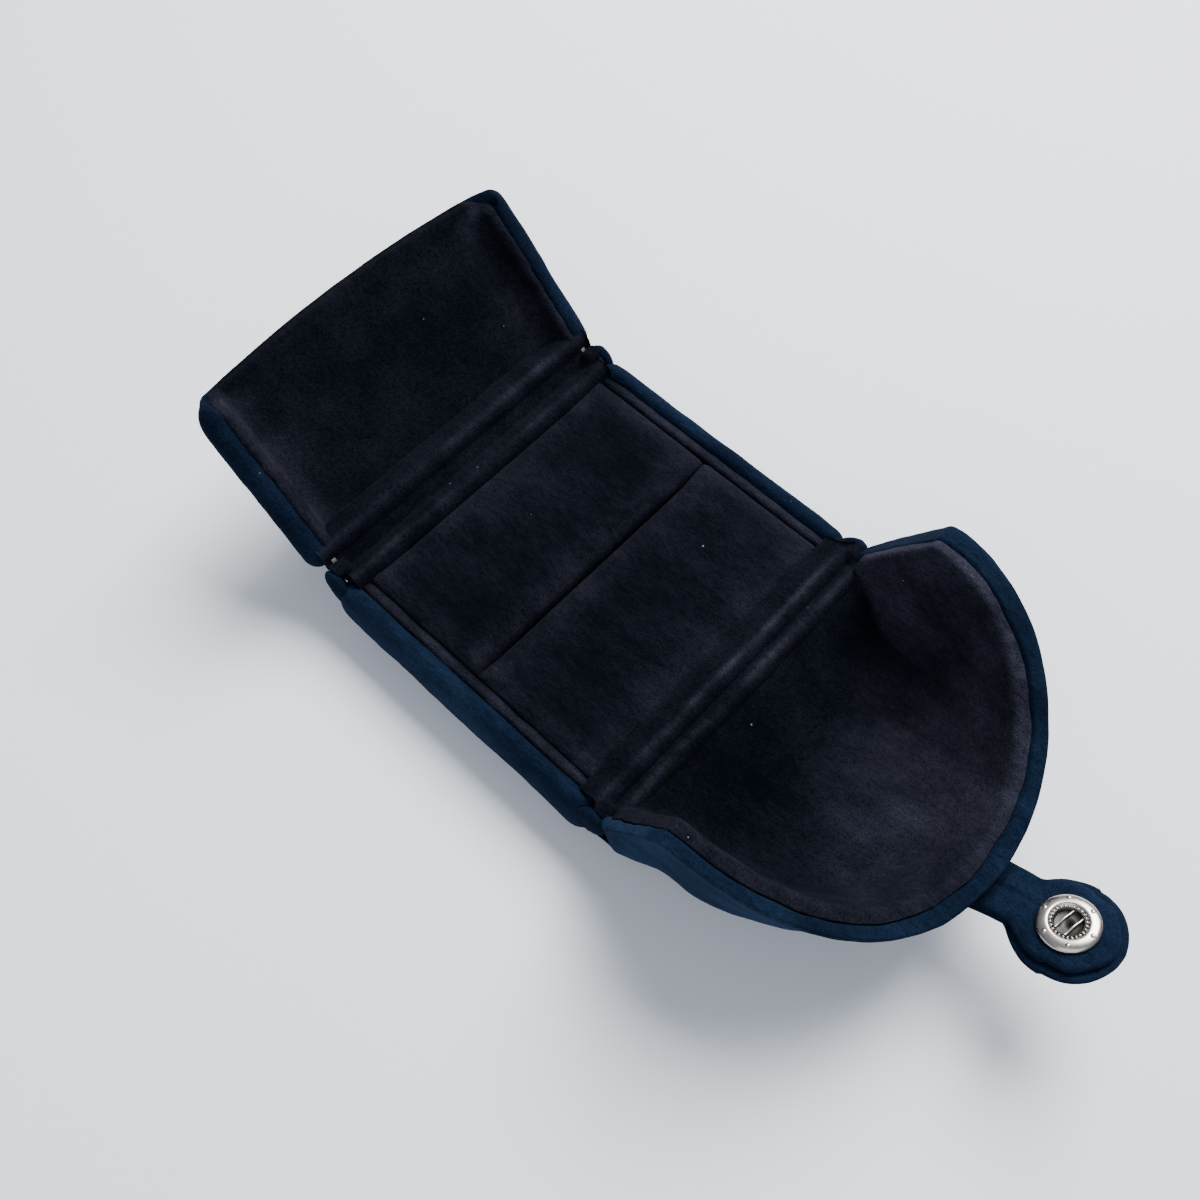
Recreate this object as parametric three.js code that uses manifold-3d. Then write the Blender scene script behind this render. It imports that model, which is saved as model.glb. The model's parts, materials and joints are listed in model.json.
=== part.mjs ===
// Jewelry gift box: a shallow velvet tray with a lid hinged to its rear edge and a scoop-shaped
// flap hinged to its front edge. The flap's nose folds over the closed lid and a strap with a
// ring snap holds it. Millimetres, +Z up, origin at the centre of the tray's underside.
import * as THREE from "three";
import { mergeVertices } from "three/addons/utils/BufferGeometryUtils.js";
import Module from "manifold-3d";

const wasm = await Module();
wasm.setup();

// ---- driving dimensions ----
const GAP = 0.3;

const TRAY = { halfWidth: 36.5, front: -32.2, rear: 30.6, height: 14, floor: 1.2, lip: 32.4 };
const TRAY_CAVITY = { halfWidth: 33.9, front: -30.4, rear: 28.8 };
const PAD = { halfWidth: 30, halfLength: 27.35, bottom: 3.0, slit: 0.5 };
const STRIP_BOTTOM = 10.3;

const REAR_HINGE = new THREE.Vector3(0, 32.0, 14.0);
const FRONT_HINGE = new THREE.Vector3(0, -33.3, 14.4);
const PIN = { radius: 0.5, head: 0.9, start: 31.5, end: 34.9, headLength: 0.5 };
const LUG = { radius: 1.2, bore: 0.6, trayX: 33.2, movingX: 32.0, thickness: 0.8 };

const LID_ANGLE = THREE.MathUtils.degToRad(45.6);
const LID = { halfWidth: 36, start: 2.8, sideEnd: 35.6, centreEnd: 38.8, rim: -0.4, back: -8.8 };
const LID_FLOOR = -4.6;
const LID_RIDGE_END = 4.7;

const SCOOP = {
  hingeHalfWidth: 32.5,
  halfWidth: 32.1,
  earLength: 12.6,
  earHeight: 22.0,
  tipReach: 48.9,
  tipHeight: 6.0,
  roundness: 2.08,
  rimFall: 2.36,
  footHalfWidth: 25,
  footHingeHalfWidth: 31,
  footReach: 41,
  centreReach: 34,
};
const CREASE = new THREE.Vector2(-17.2, -10.4);
const NOSE_RISE = 6.2;
const LAYERS = { lining: [-1.3, 0], board: [GAP, 1.4], cover: [1.7, 3.8] };

const FLAP_CLOSED = THREE.MathUtils.degToRad(120);
const NOSE_FOLD = THREE.MathUtils.degToRad(44);

const STRAP_ROOT = new THREE.Vector2(-50.9, -2.4);
const STRAP_TILT = THREE.MathUtils.degToRad(24);
const STRAP_ROOT_TILT = THREE.MathUtils.degToRad(50);
const STRAP = { bend: 9, snap: 16.2, halfWidth: 5, waist: 4.6, tab: 8.3, layer: 1.2 };
const SNAP_RADIUS = 5;
const SNAP_HEIGHT = 2.2;

// ---- materials ----
const finish = (color, roughness, metalness) =>
  new THREE.MeshStandardMaterial({ color, roughness, metalness });
const NAVY = finish(0x0d2240, 0.95, 0);
const LINING = finish(0x101218, 0.97, 0);
const STEEL = finish(0xb9bcc0, 0.35, 1);
const NICKEL = finish(0xd2d2d4, 0.22, 1);
const CARD = finish(0x8d8474, 0.9, 0);

// ---- solid helpers ----
function bare(geometry) {
  const plain = geometry.clone();
  for (const name of ["normal", "uv"]) {
    plain.deleteAttribute(name);
  }
  return mergeVertices(plain, 1e-4);
}

function toSolid(geometry) {
  const plain = bare(geometry);
  const vertProperties = new Float32Array(plain.attributes.position.array);
  const triVerts = new Uint32Array(plain.index.array);
  return new wasm.Manifold(new wasm.Mesh({ numProp: 3, vertProperties, triVerts }));
}

function toGeometry(solid) {
  const mesh = solid.getMesh();
  const geometry = new THREE.BufferGeometry();
  geometry.setAttribute("position", new THREE.BufferAttribute(new Float32Array(mesh.vertProperties), 3));
  geometry.setIndex(new THREE.BufferAttribute(new Uint32Array(mesh.triVerts), 1));
  return geometry;
}

function signedVolume(geometry) {
  const point = geometry.attributes.position;
  const [a, b, c] = [new THREE.Vector3(), new THREE.Vector3(), new THREE.Vector3()];
  let volume = 0;
  for (let i = 0; i < geometry.index.count; i += 3) {
    a.fromBufferAttribute(point, geometry.index.getX(i));
    b.fromBufferAttribute(point, geometry.index.getX(i + 1));
    c.fromBufferAttribute(point, geometry.index.getX(i + 2));
    volume += a.dot(b.cross(c)) / 6;
  }
  return volume;
}

function facingOut(geometry) {
  const merged = bare(geometry);
  if (signedVolume(merged) < 0) {
    merged.index.array.reverse();
  }
  return merged;
}

function box(x0, x1, y0, y1, z0, z1) {
  const geometry = new THREE.BoxGeometry(x1 - x0, y1 - y0, z1 - z0);
  return geometry.translate((x0 + x1) / 2, (y0 + y1) / 2, (z0 + z1) / 2);
}

const block = (...limits) => toSolid(box(...limits));

function roundedOutline(x0, x1, y0, y1, lower, upper = lower) {
  const shape = new THREE.Shape();
  shape.absarc(x1 - lower, y0 + lower, lower, -Math.PI / 2, 0, false);
  shape.absarc(x1 - upper, y1 - upper, upper, 0, Math.PI / 2, false);
  shape.absarc(x0 + upper, y1 - upper, upper, Math.PI / 2, Math.PI, false);
  shape.absarc(x0 + lower, y0 + lower, lower, Math.PI, 1.5 * Math.PI, false);
  return shape;
}

// Extrudes an outline drawn in the plane across the named axis, from low to high along it.
function prism(shape, axis, low, high, curveSegments = 5) {
  const geometry = new THREE.ExtrudeGeometry(shape, {
    depth: high - low,
    bevelEnabled: false,
    curveSegments,
  });
  if (axis === "x") {
    const basis = new THREE.Matrix4().makeBasis(
      new THREE.Vector3(0, 1, 0),
      new THREE.Vector3(0, 0, 1),
      new THREE.Vector3(1, 0, 0),
    );
    return geometry.applyMatrix4(basis).translate(low, 0, 0);
  }
  if (axis === "y") {
    return geometry.rotateX(Math.PI / 2).translate(0, high, 0);
  }
  return geometry.translate(0, 0, low);
}

function rod(radius, x0, x1, sides = 16) {
  const geometry = new THREE.CylinderGeometry(radius, radius, x1 - x0, sides);
  return geometry.rotateZ(Math.PI / 2).translate((x0 + x1) / 2, 0, 0);
}

// Both copies of a shape that stands on the right-hand side, mirrored to the left.
function bothSides(solid) {
  return solid.add(solid.mirror([1, 0, 0]));
}

// The eye of a hinge lug on the right-hand side, with its bore along X through the origin.
function lugEye(x0) {
  const eye = toSolid(rod(LUG.radius, x0, x0 + LUG.thickness));
  return eye.subtract(toSolid(rod(LUG.bore, x0 - 1, x0 + 2)));
}

function lugBore(x0) {
  return toSolid(rod(LUG.bore, x0 - 1, x0 + 2));
}

// A closed body between two surfaces, each a function of u and v from 0 to 1. With pinched set,
// the last row lies on itself, left half on right half, so it is joined and gets no end wall.
function sheetSolid(rows, columns, inner, outer, pinched = false) {
  const positions = [];
  const index = [];
  const stride = columns + 1;
  const layer = (rows + 1) * stride;
  for (const surface of [inner, outer]) {
    for (let i = 0; i <= rows; i += 1) {
      for (let j = 0; j <= columns; j += 1) {
        positions.push(...surface(i / rows, j / columns).toArray());
      }
    }
  }
  const quad = (a, b, c, d) => index.push(a, b, c, a, c, d);
  for (let i = 0; i < rows; i += 1) {
    for (let j = 0; j < columns; j += 1) {
      const a = i * stride + j;
      quad(a, a + 1, a + stride + 1, a + stride);
      quad(layer + a, layer + a + stride, layer + a + stride + 1, layer + a + 1);
    }
    const left = i * stride;
    const right = left + columns;
    quad(left, left + stride, layer + left + stride, layer + left);
    quad(right, layer + right, layer + right + stride, right + stride);
  }
  for (let j = 0; j < columns; j += 1) {
    const last = rows * stride + j;
    quad(j, layer + j, layer + j + 1, j + 1);
    if (!pinched) {
      quad(last, last + 1, layer + last + 1, layer + last);
    }
  }
  const geometry = new THREE.BufferGeometry();
  geometry.setAttribute("position", new THREE.Float32BufferAttribute(positions, 3));
  geometry.setIndex(index);
  return facingOut(geometry);
}

function addMesh(parent, name, shape, material) {
  const geometry = shape instanceof THREE.BufferGeometry ? shape : toGeometry(shape);
  const mesh = new THREE.Mesh(geometry, material);
  mesh.name = name;
  parent.add(mesh);
  return mesh;
}

const object = new THREE.Group();

// ---- tray ----
function trayCover() {
  const { halfWidth, front, rear, height, floor, lip } = TRAY;
  const across = toSolid(prism(roundedOutline(-halfWidth, halfWidth, 0, height, 8, 3.6), "y", front, rear));
  const along = toSolid(prism(roundedOutline(front, rear, 0, height, 4.5, 3), "x", -halfWidth, halfWidth));
  const plan = toSolid(prism(roundedOutline(-halfWidth, halfWidth, front, rear, 5.5), "z", 0, height));
  const cavity = TRAY_CAVITY;
  const top = height - 1.6;
  const wide = roundedOutline(-cavity.halfWidth, cavity.halfWidth, floor, top, 5, 0.3);
  const long = roundedOutline(cavity.front, cavity.rear, floor, top, 3, 0.3);
  const channel = toSolid(prism(wide, "y", cavity.front, cavity.rear)).intersect(
    toSolid(prism(long, "x", -cavity.halfWidth, cavity.halfWidth)),
  );
  const mouth = block(-lip, lip, cavity.front, cavity.rear, top - 2, height + 1);
  const frontLedge = block(-40, 40, -40, -PAD.halfLength - GAP, STRIP_BOTTOM - 1.4, height + 1);
  const rearLedge = block(-40, 40, PAD.halfLength + GAP, 40, STRIP_BOTTOM - 1.4, height + 1);
  const body = across.intersect(along).intersect(plan);
  return body.subtract(channel).subtract(mouth).subtract(frontLedge).subtract(rearLedge);
}

// A lug that steps out of the frame's end wall and up to a hinge axis, on the right-hand side.
function trayLug(hinge, wallY) {
  const outward = Math.sign(hinge.y);
  const [x0, x1] = [LUG.trayX, LUG.trayX + LUG.thickness];
  const shelfTop = STRIP_BOTTOM - GAP;
  const [near, far] = [hinge.y - outward * 0.8, hinge.y + outward * 0.8];
  const shelf = block(x0, x1, Math.min(wallY, far), Math.max(wallY, far), shelfTop - 0.8, shelfTop);
  const post = block(x0, x1, Math.min(near, far), Math.max(near, far), shelfTop - 0.8, hinge.z);
  const place = [0, hinge.y, hinge.z];
  return shelf.add(post).subtract(lugBore(x0).translate(place)).add(lugEye(x0).translate(place));
}

function trayFrame() {
  const wall = 0.8;
  const [x, front, rear] = [33.4, TRAY_CAVITY.front + GAP, TRAY_CAVITY.rear - GAP];
  const outer = block(-x, x, front, rear, 5.0, 12.1);
  const inner = block(-x + wall, x - wall, front + wall, rear - wall, 1, 13);
  const frontLedge = block(-40, 40, -40, -PAD.halfLength - GAP, STRIP_BOTTOM - GAP, 15);
  const rearLedge = block(-40, 40, PAD.halfLength + GAP, 40, STRIP_BOTTOM - GAP, 15);
  const frame = outer.subtract(inner).subtract(frontLedge).subtract(rearLedge);
  const rearLugs = bothSides(trayLug(REAR_HINGE, rear - wall));
  const frontLugs = bothSides(trayLug(FRONT_HINGE, front + wall));
  return frame.add(rearLugs).add(frontLugs);
}

function trayBoard() {
  return box(-30.2, 30.2, -28.0, 26.3, 1.5, 2.7);
}

function padHalf(y0, y1) {
  const { halfWidth, bottom } = PAD;
  const wide = roundedOutline(-halfWidth, halfWidth, bottom, TRAY.height, 0.4, 1.4);
  const long = roundedOutline(y0, y1, bottom, TRAY.height, 0.4, 1.0);
  const across = toSolid(prism(wide, "y", y0, y1));
  const along = toSolid(prism(long, "x", -halfWidth, halfWidth));
  return across.intersect(along);
}

function sideLining(side) {
  const ends = [side * (PAD.halfWidth + GAP), side * (TRAY.lip - GAP)];
  const outline = roundedOutline(Math.min(...ends), Math.max(...ends), PAD.bottom, TRAY.height, 0.3, 0.8);
  return prism(outline, "y", -PAD.halfLength, PAD.halfLength, 3);
}

function hingeStrip(y0, y1) {
  return prism(roundedOutline(y0, y1, STRIP_BOTTOM, TRAY.height, 0.3, 1.1), "x", -33, 33, 4);
}

// A short rivet through the lugs at one end of a hinge.
function hingePin(hinge, side) {
  const { radius, head, start, end, headLength } = PIN;
  const shank = toSolid(rod(radius, start, end - headLength, 12));
  const cap = toSolid(rod(head, end - headLength - 0.1, end, 16));
  const pin = shank.add(cap).translate([0, hinge.y, hinge.z]);
  return side < 0 ? pin.mirror([1, 0, 0]) : pin;
}

// ---- lid, drawn with Y away from its hinge and Z towards its lined side ----
function lidOutline(halfWidth, start, trim) {
  const corner = 5;
  const shape = new THREE.Shape();
  const side = LID.sideEnd - trim - corner;
  const cornerEnd = side + corner + 0.9;
  const bulge = 2 * (LID.centreEnd - trim) - cornerEnd;
  shape.moveTo(-halfWidth, start);
  shape.lineTo(halfWidth, start);
  shape.lineTo(halfWidth, side);
  shape.quadraticCurveTo(halfWidth, side + corner, halfWidth - corner, cornerEnd);
  shape.quadraticCurveTo(0, bulge, -halfWidth + corner, cornerEnd);
  shape.quadraticCurveTo(-halfWidth, side + corner, -halfWidth, side);
  return shape;
}

function lidCover(studReach) {
  const { halfWidth, start, centreEnd, rim, back } = LID;
  const wide = roundedOutline(-halfWidth, halfWidth, back, rim, 6.0, 1.8);
  const long = roundedOutline(start, centreEnd, back, rim, 3.2, 0.3);
  const across = toSolid(prism(wide, "y", start, centreEnd + 1));
  const plan = toSolid(prism(lidOutline(halfWidth, start, 0), "z", back, rim, 8));
  const along = toSolid(prism(long, "x", -halfWidth, halfWidth));
  const channel = block(-33.6, 33.6, 0, 50, back + 1.5, rim - 2.1);
  const mouth = block(-31.2, 31.2, 0, 50, rim - 3, 0);
  const ridgeBed = block(-40, 40, 0, LID_RIDGE_END + GAP, back + 2.1, 0);
  const drill = new THREE.CylinderGeometry(1.9, 1.9, 6, 20).rotateX(Math.PI / 2);
  const hole = toSolid(drill.translate(0, studReach, back));
  const body = across.intersect(plan).intersect(along);
  return body.subtract(channel).subtract(mouth).subtract(ridgeBed).subtract(hole);
}

function lidFrame() {
  const bar = block(-33.3, 33.3, 1.9, 2.5, -6.6, -1.3);
  const x0 = LUG.movingX;
  const arm = block(x0, x0 + LUG.thickness, 0, 2.3, -2.2, -0.6).subtract(lugBore(x0));
  return bar.add(bothSides(arm.add(lugEye(x0))));
}

function lidSideStrip(side) {
  const [x0, x1] = side < 0 ? [-33.3, -32.6] : [32.6, 33.3];
  return box(x0, x1, 5.1, 33, -6.9, -2.9);
}

function lidPanel(halfWidth, z0, z1, trim) {
  return prism(lidOutline(halfWidth, LID_RIDGE_END + GAP, trim), "z", z0, z1, 8);
}

function lidSideLining(side) {
  const [x0, x1] = side < 0 ? [-30.9, -29.9] : [29.9, 30.9];
  return box(x0, x1, 5.1, 33, -5.6, LID.rim - 0.2);
}

function lidRidge() {
  return prism(roundedOutline(LID.start, LID_RIDGE_END, -6.4, LID.rim - 0.1, 0.3, 0.8), "x", -33, 33, 4);
}

// ---- snap hardware, turned about Y and laid on its mount ----
function turned(profile, segments = 40) {
  const points = profile.map(([radius, height]) => new THREE.Vector2(radius, height));
  return facingOut(new THREE.LatheGeometry(points, segments));
}

// The stud stands on the lid's outer face, its head pointing down the Y axis here.
function snapStud() {
  const shank = [[0, 1.2], [1.6, 1.2], [1.6, 0]];
  const flange = [[4.6, 0], [4.9, -0.4], [4.4, -0.8], [1.9, -0.9]];
  const head = [[1.6, -1.4], [1.9, -1.9], [1.5, -2.3], [0, -2.4]];
  return turned([...shank, ...flange, ...head], 32);
}

function studRivet() {
  return turned([[0, 1.5], [1.5, 1.5], [1.5, 2.1], [3.6, 2.1], [3.6, 2.5], [0, 2.5]], 32);
}

function snapSocket() {
  const outside = [[2.3, 0], [SNAP_RADIUS - 0.3, 0], [SNAP_RADIUS, 0.5], [4.8, 1.3], [4.1, 1.9]];
  const inside = [[3.5, SNAP_HEIGHT], [2.8, 1.8], [2.6, 1.2], [2.3, 0.9], [2.3, 0]];
  return turned([...outside, ...inside], 48);
}

function snapWire() {
  return rod(0.3, -2.0, 2.0, 8).rotateY(0.6).translate(0, 0, 0.5);
}

function snapCap() {
  const shank = [[0, 2.0], [1.7, 2.0], [1.9, -0.1]];
  const dome = [[4.7, -0.1], [5.0, -0.5], [4.2, -1.1], [2.4, -1.5], [0, -1.6]];
  return turned([...shank, ...dome], 32);
}

// ---- scoop: ears, floor and nose, with Y pointing from the hinge to the tip as negative ----
function floorHeight(reach) {
  const crease = -CREASE.x;
  if (reach < crease) {
    return (CREASE.y * reach) / crease;
  }
  const along = (reach - crease) / (SCOOP.footReach - crease);
  return CREASE.y + NOSE_RISE * Math.pow(Math.min(along, 1.4), 1.3);
}

// Place runs from 0 at the hinge to 1 at the ear's corner and 2 at the tip.
function turn(place) {
  const angle = (Math.min(Math.max(place - 1, 0), 1) * Math.PI) / 2;
  const power = 2 / SCOOP.roundness;
  return [Math.pow(Math.max(Math.cos(angle), 0), power), Math.pow(Math.sin(angle), power)];
}

function rimPoint(offset, place) {
  const { hingeHalfWidth, halfWidth, earLength, earHeight, tipReach, tipHeight, rimFall } = SCOOP;
  if (place <= 1) {
    const x = THREE.MathUtils.lerp(hingeHalfWidth, halfWidth, place) + offset;
    return new THREE.Vector3(x, -earLength * place, earHeight * place);
  }
  const [wide, far] = turn(place);
  const reach = earLength + (tipReach + offset - earLength) * far;
  const height = tipHeight + (earHeight - tipHeight) * Math.pow(wide, rimFall);
  return new THREE.Vector3((halfWidth + offset) * wide, -reach, height);
}

function footPoint(offset, place) {
  const { footHingeHalfWidth, footHalfWidth, earLength, footReach } = SCOOP;
  const spread = 0.85 * offset;
  if (place <= 1) {
    const x = THREE.MathUtils.lerp(footHingeHalfWidth, footHalfWidth, place) + spread;
    return new THREE.Vector3(x, -earLength * place, floorHeight(earLength * place) - offset);
  }
  const [wide, far] = turn(place);
  const reach = earLength + (footReach - earLength) * far;
  const out = 0.85 * offset * far;
  return new THREE.Vector3((footHalfWidth + spread) * wide, -reach - out, floorHeight(reach) - offset);
}

function centrePoint(offset, place) {
  const { earLength, centreReach } = SCOOP;
  const reach = place <= 1 ? earLength * place : earLength + (centreReach - earLength) * (place - 1);
  return new THREE.Vector3(0, -reach, floorHeight(reach) - offset);
}

// From the rim (0) down the wall, round the foot and along the floor to the centre line (1).
function wallToFloor(rim, foot, centre, along) {
  const wallEnd = rim.clone().lerp(foot, 0.72);
  const floorStart = foot.clone().lerp(centre, 0.25);
  if (along < 0.4) {
    return rim.clone().lerp(wallEnd, along / 0.4);
  }
  if (along < 0.7) {
    const t = (along - 0.4) / 0.3;
    return wallEnd.clone().lerp(foot, t).lerp(foot.clone().lerp(floorStart, t), t);
  }
  return floorStart.clone().lerp(centre, (along - 0.7) / 0.3);
}

function scoopSurface(offset, places) {
  return (u, v) => {
    const side = v < 0.5 ? -1 : 1;
    const along = v < 0.5 ? 2 * v : 2 - 2 * v;
    const [rim, foot, centre] = places(u);
    const ends = [rimPoint(offset, rim), footPoint(offset, foot), centrePoint(offset, centre)];
    const point = wallToFloor(...ends, along);
    point.x *= side;
    return point;
  };
}

const between = (low, high) => (u) => THREE.MathUtils.lerp(low, high, u);
const flapPlaces = (u) => [between(0.2, 1.0)(u), between(0.2, 1.064)(u), between(0.2, 1.145)(u)];
const nosePlaces = (u) => [between(1.6, 2)(u), between(1.114, 2)(u), between(1.252, 2)(u)];

function flapLayer([near, far]) {
  return sheetSolid(8, 20, scoopSurface(near, flapPlaces), scoopSurface(far, flapPlaces));
}

// Points given in the closed box, seen from the front hinge, carried back to the open pose.
function openedFromClosed(geometry) {
  const crease = CREASE.clone().rotateAround(new THREE.Vector2(), -FLAP_CLOSED);
  geometry.translate(0, -crease.x, -crease.y);
  geometry.rotateX(FLAP_CLOSED + NOSE_FOLD);
  return geometry.translate(0, CREASE.x, CREASE.y);
}

// The nose leaves room for the tray's rim and the lid's end, which it comes down on when closed.
function noseLayer([near, far]) {
  const faces = [scoopSurface(near, nosePlaces), scoopSurface(far, nosePlaces)];
  const sheet = toSolid(sheetSolid(14, 20, ...faces, true));
  const trayTop = TRAY.height - FRONT_HINGE.z + 0.6;
  const lidTop = REAR_HINGE.z - LID.back - FRONT_HINGE.z + 0.6;
  const lidEnd = REAR_HINGE.y - LID.centreEnd - FRONT_HINGE.y - 0.7;
  const overTray = toSolid(openedFromClosed(box(-50, 50, -20, 90, trayTop - 40, trayTop)));
  const overLid = toSolid(openedFromClosed(box(-50, 50, lidEnd, 90, lidTop - 40, lidTop)));
  return sheet.subtract(overTray).subtract(overLid);
}

function flapRidge() {
  const outline = roundedOutline(-2.4, -1.5, -3.4, -0.9, 0.3);
  return prism(outline, "x", -31.6, 31.6, 3);
}

function flapFrame() {
  const plate = block(-33, 33, -2.2, -1.6, -5.4, -3.8);
  const x0 = LUG.movingX;
  const x1 = x0 + LUG.thickness;
  const arm = block(x0, x1, -1.2, 0.4, -4.6, 0).subtract(lugBore(x0));
  const foot = block(x0, x1, -2.2, -0.6, -4.6, -4.0);
  return plate.add(bothSides(arm.add(foot).add(lugEye(x0))));
}

// The strap's sewn end: a short shelf of velvet from the nose's wall out to where the strap bends.
function strapAnchor() {
  const top = STRAP_ROOT.y - GAP;
  const { halfWidth, layer } = STRAP;
  const shelf = block(-halfWidth, halfWidth, STRAP_ROOT.x + 0.4, STRAP_ROOT.x + 5.5, top - layer, top);
  const faces = [scoopSurface(-2, nosePlaces), scoopSurface(LAYERS.cover[1] + GAP, nosePlaces)];
  return shelf.subtract(toSolid(sheetSolid(14, 20, ...faces, true)));
}

// ---- strap: a straight tab after a short curved neck, measured along its length ----
function strapLine(along) {
  const { bend } = STRAP;
  const steps = 24;
  const point = new THREE.Vector2();
  const bent = Math.min(along, bend);
  for (let i = 0; i < steps; i += 1) {
    const share = ((i + 0.5) * bent) / steps / bend;
    const tilt = THREE.MathUtils.lerp(STRAP_ROOT_TILT, STRAP_TILT, share);
    point.x -= (Math.cos(tilt) * bent) / steps;
    point.y += (Math.sin(tilt) * bent) / steps;
  }
  const rest = Math.max(along - bend, 0);
  point.x -= Math.cos(STRAP_TILT) * rest;
  point.y += Math.sin(STRAP_TILT) * rest;
  const tilt = THREE.MathUtils.lerp(STRAP_ROOT_TILT, STRAP_TILT, bent / bend);
  return { point, normal: new THREE.Vector2(Math.sin(tilt), Math.cos(tilt)) };
}

function strapHalfWidth(along, tab) {
  const { snap, halfWidth, waist } = STRAP;
  const toTab = along - snap;
  const round = Math.abs(toTab) < tab ? Math.sqrt(tab * tab - toTab * toTab) : 0;
  if (toTab > 0) {
    return Math.max(round, 0.4);
  }
  const share = THREE.MathUtils.clamp(along / (snap - tab), 0, 1);
  const neck = THREE.MathUtils.lerp(halfWidth, waist, share);
  return Math.max(neck, round);
}

function strapSheet(bottom, top, tab, start) {
  const length = STRAP.snap + tab - 0.05;
  const surface = (height) => (u, v) => {
    const along = THREE.MathUtils.lerp(start, length, Math.sin((u * Math.PI) / 2));
    const { point, normal } = strapLine(along);
    const x = (2 * v - 1) * strapHalfWidth(along, tab);
    return new THREE.Vector3(x, point.x + normal.x * height, point.y + normal.y * height);
  };
  const sheet = toSolid(sheetSolid(22, 4, surface(bottom), surface(top)));
  const snap = strapLine(STRAP.snap);
  const hole = new THREE.CylinderGeometry(2.2, 2.2, 12, 20).rotateX(Math.PI / 2 - STRAP_TILT);
  return sheet.subtract(toSolid(hole.translate(0, snap.point.x, snap.point.y)));
}

// ---- assembly ----
const lid = new THREE.Group();
lid.position.copy(REAR_HINGE);
lid.rotation.x = LID_ANGLE;
const flap = new THREE.Group();
flap.position.copy(FRONT_HINGE);
const strap = new THREE.Group();
strap.position.set(0, STRAP_ROOT.x, STRAP_ROOT.y);
flap.add(strap);
object.add(lid, flap);

// Where the strap's snap comes to lie on the closed lid, as a distance from the lid's hinge.
function studReach() {
  const snap = strapLine(STRAP.snap);
  const face = snap.point.clone().addScaledVector(snap.normal, STRAP.layer * 2 + SNAP_HEIGHT);
  const crease = CREASE.clone().rotateAround(new THREE.Vector2(), -FLAP_CLOSED);
  const closed = face.add(STRAP_ROOT).sub(CREASE);
  closed.rotateAround(new THREE.Vector2(), -FLAP_CLOSED - NOSE_FOLD).add(crease);
  return REAR_HINGE.y - FRONT_HINGE.y - closed.x;
}

addMesh(object, "base_outer_cover", trayCover(), NAVY);
addMesh(object, "base_frame", trayFrame(), STEEL);
addMesh(object, "base_board", trayBoard(), CARD);
addMesh(object, "pad_rear", padHalf(PAD.slit / 2, PAD.halfLength), LINING);
addMesh(object, "pad_front", padHalf(-PAD.halfLength, -PAD.slit / 2), LINING);
addMesh(object, "base_lining_left", sideLining(-1), LINING);
addMesh(object, "base_lining_right", sideLining(1), LINING);
addMesh(object, "base_lining_rear", hingeStrip(PAD.halfLength + GAP, 30.3), LINING);
addMesh(object, "base_lining_front", hingeStrip(-31.7, -PAD.halfLength - GAP), LINING);
for (const [end, hinge] of [["rear", REAR_HINGE], ["front", FRONT_HINGE]]) {
  for (const [hand, side] of [["left", -1], ["right", 1]]) {
    addMesh(object, `${end}_hinge_pin_${hand}`, hingePin(hinge, side), STEEL);
  }
}

const reach = studReach();
addMesh(lid, "lid_outer_cover", lidCover(reach), NAVY);
addMesh(lid, "lid_frame", lidFrame(), STEEL);
addMesh(lid, "lid_side_strip_left", lidSideStrip(-1), STEEL);
addMesh(lid, "lid_side_strip_right", lidSideStrip(1), STEEL);
addMesh(lid, "lid_board", lidPanel(32.3, -6.3, -5.9, 2), CARD);
addMesh(lid, "lid_lining_panel", lidPanel(29.6, -5.6, LID_FLOOR, 1), LINING);
addMesh(lid, "lid_lining_left", lidSideLining(-1), LINING);
addMesh(lid, "lid_lining_right", lidSideLining(1), LINING);
addMesh(lid, "lid_lining_rear", lidRidge(), LINING);
for (const [name, shape] of [["snap_stud", snapStud()], ["stud_rivet", studRivet()]]) {
  const mesh = addMesh(lid, name, shape, NICKEL);
  mesh.position.set(0, reach, LID.back - GAP);
  mesh.rotation.x = Math.PI / 2;
}

addMesh(flap, "flap_frame", flapFrame(), STEEL);
addMesh(flap, "flap_lining_ridge", flapRidge(), LINING);
addMesh(flap, "flap_lining", flapLayer(LAYERS.lining), LINING);
addMesh(flap, "flap_board", flapLayer(LAYERS.board), CARD);
addMesh(flap, "flap_outer_cover", flapLayer(LAYERS.cover), NAVY);
addMesh(flap, "nose_lining", noseLayer(LAYERS.lining), LINING);
addMesh(flap, "nose_board", noseLayer(LAYERS.board), CARD);
addMesh(flap, "nose_outer_cover", noseLayer(LAYERS.cover), NAVY);

addMesh(flap, "strap_anchor", strapAnchor(), NAVY);
addMesh(strap, "strap_lower_layer", strapSheet(0, STRAP.layer, STRAP.tab, 0), NAVY);
const upperLayer = strapSheet(STRAP.layer + GAP, 2 * STRAP.layer + GAP, STRAP.tab - 0.9, 0.5);
addMesh(strap, "strap_upper_layer", upperLayer, NAVY);
const snap = new THREE.Group();
const seat = strapLine(STRAP.snap);
const seatHeight = 2 * STRAP.layer + 2 * GAP;
snap.position.set(0, seat.point.x + seat.normal.x * seatHeight, seat.point.y + seat.normal.y * seatHeight);
snap.rotation.x = Math.PI / 2 - STRAP_TILT;
strap.add(snap);
addMesh(snap, "snap_socket", snapSocket(), NICKEL);
addMesh(snap, "snap_spring_wire", snapWire(), STEEL);
addMesh(snap, "snap_cap", snapCap().translate(0, -seatHeight - 0.2, 0), NICKEL);

export default object;
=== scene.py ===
"""Looks of the velvet jewelry gift box, built round its CAD frame.

Sizes are millimetres. Lights, the camera's clipping and the frame's own calls are in metres.
X runs to the right, Y to the rear and Z up. The lid has its own (x, u, v), from its hinge."""
import json
import math

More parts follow.
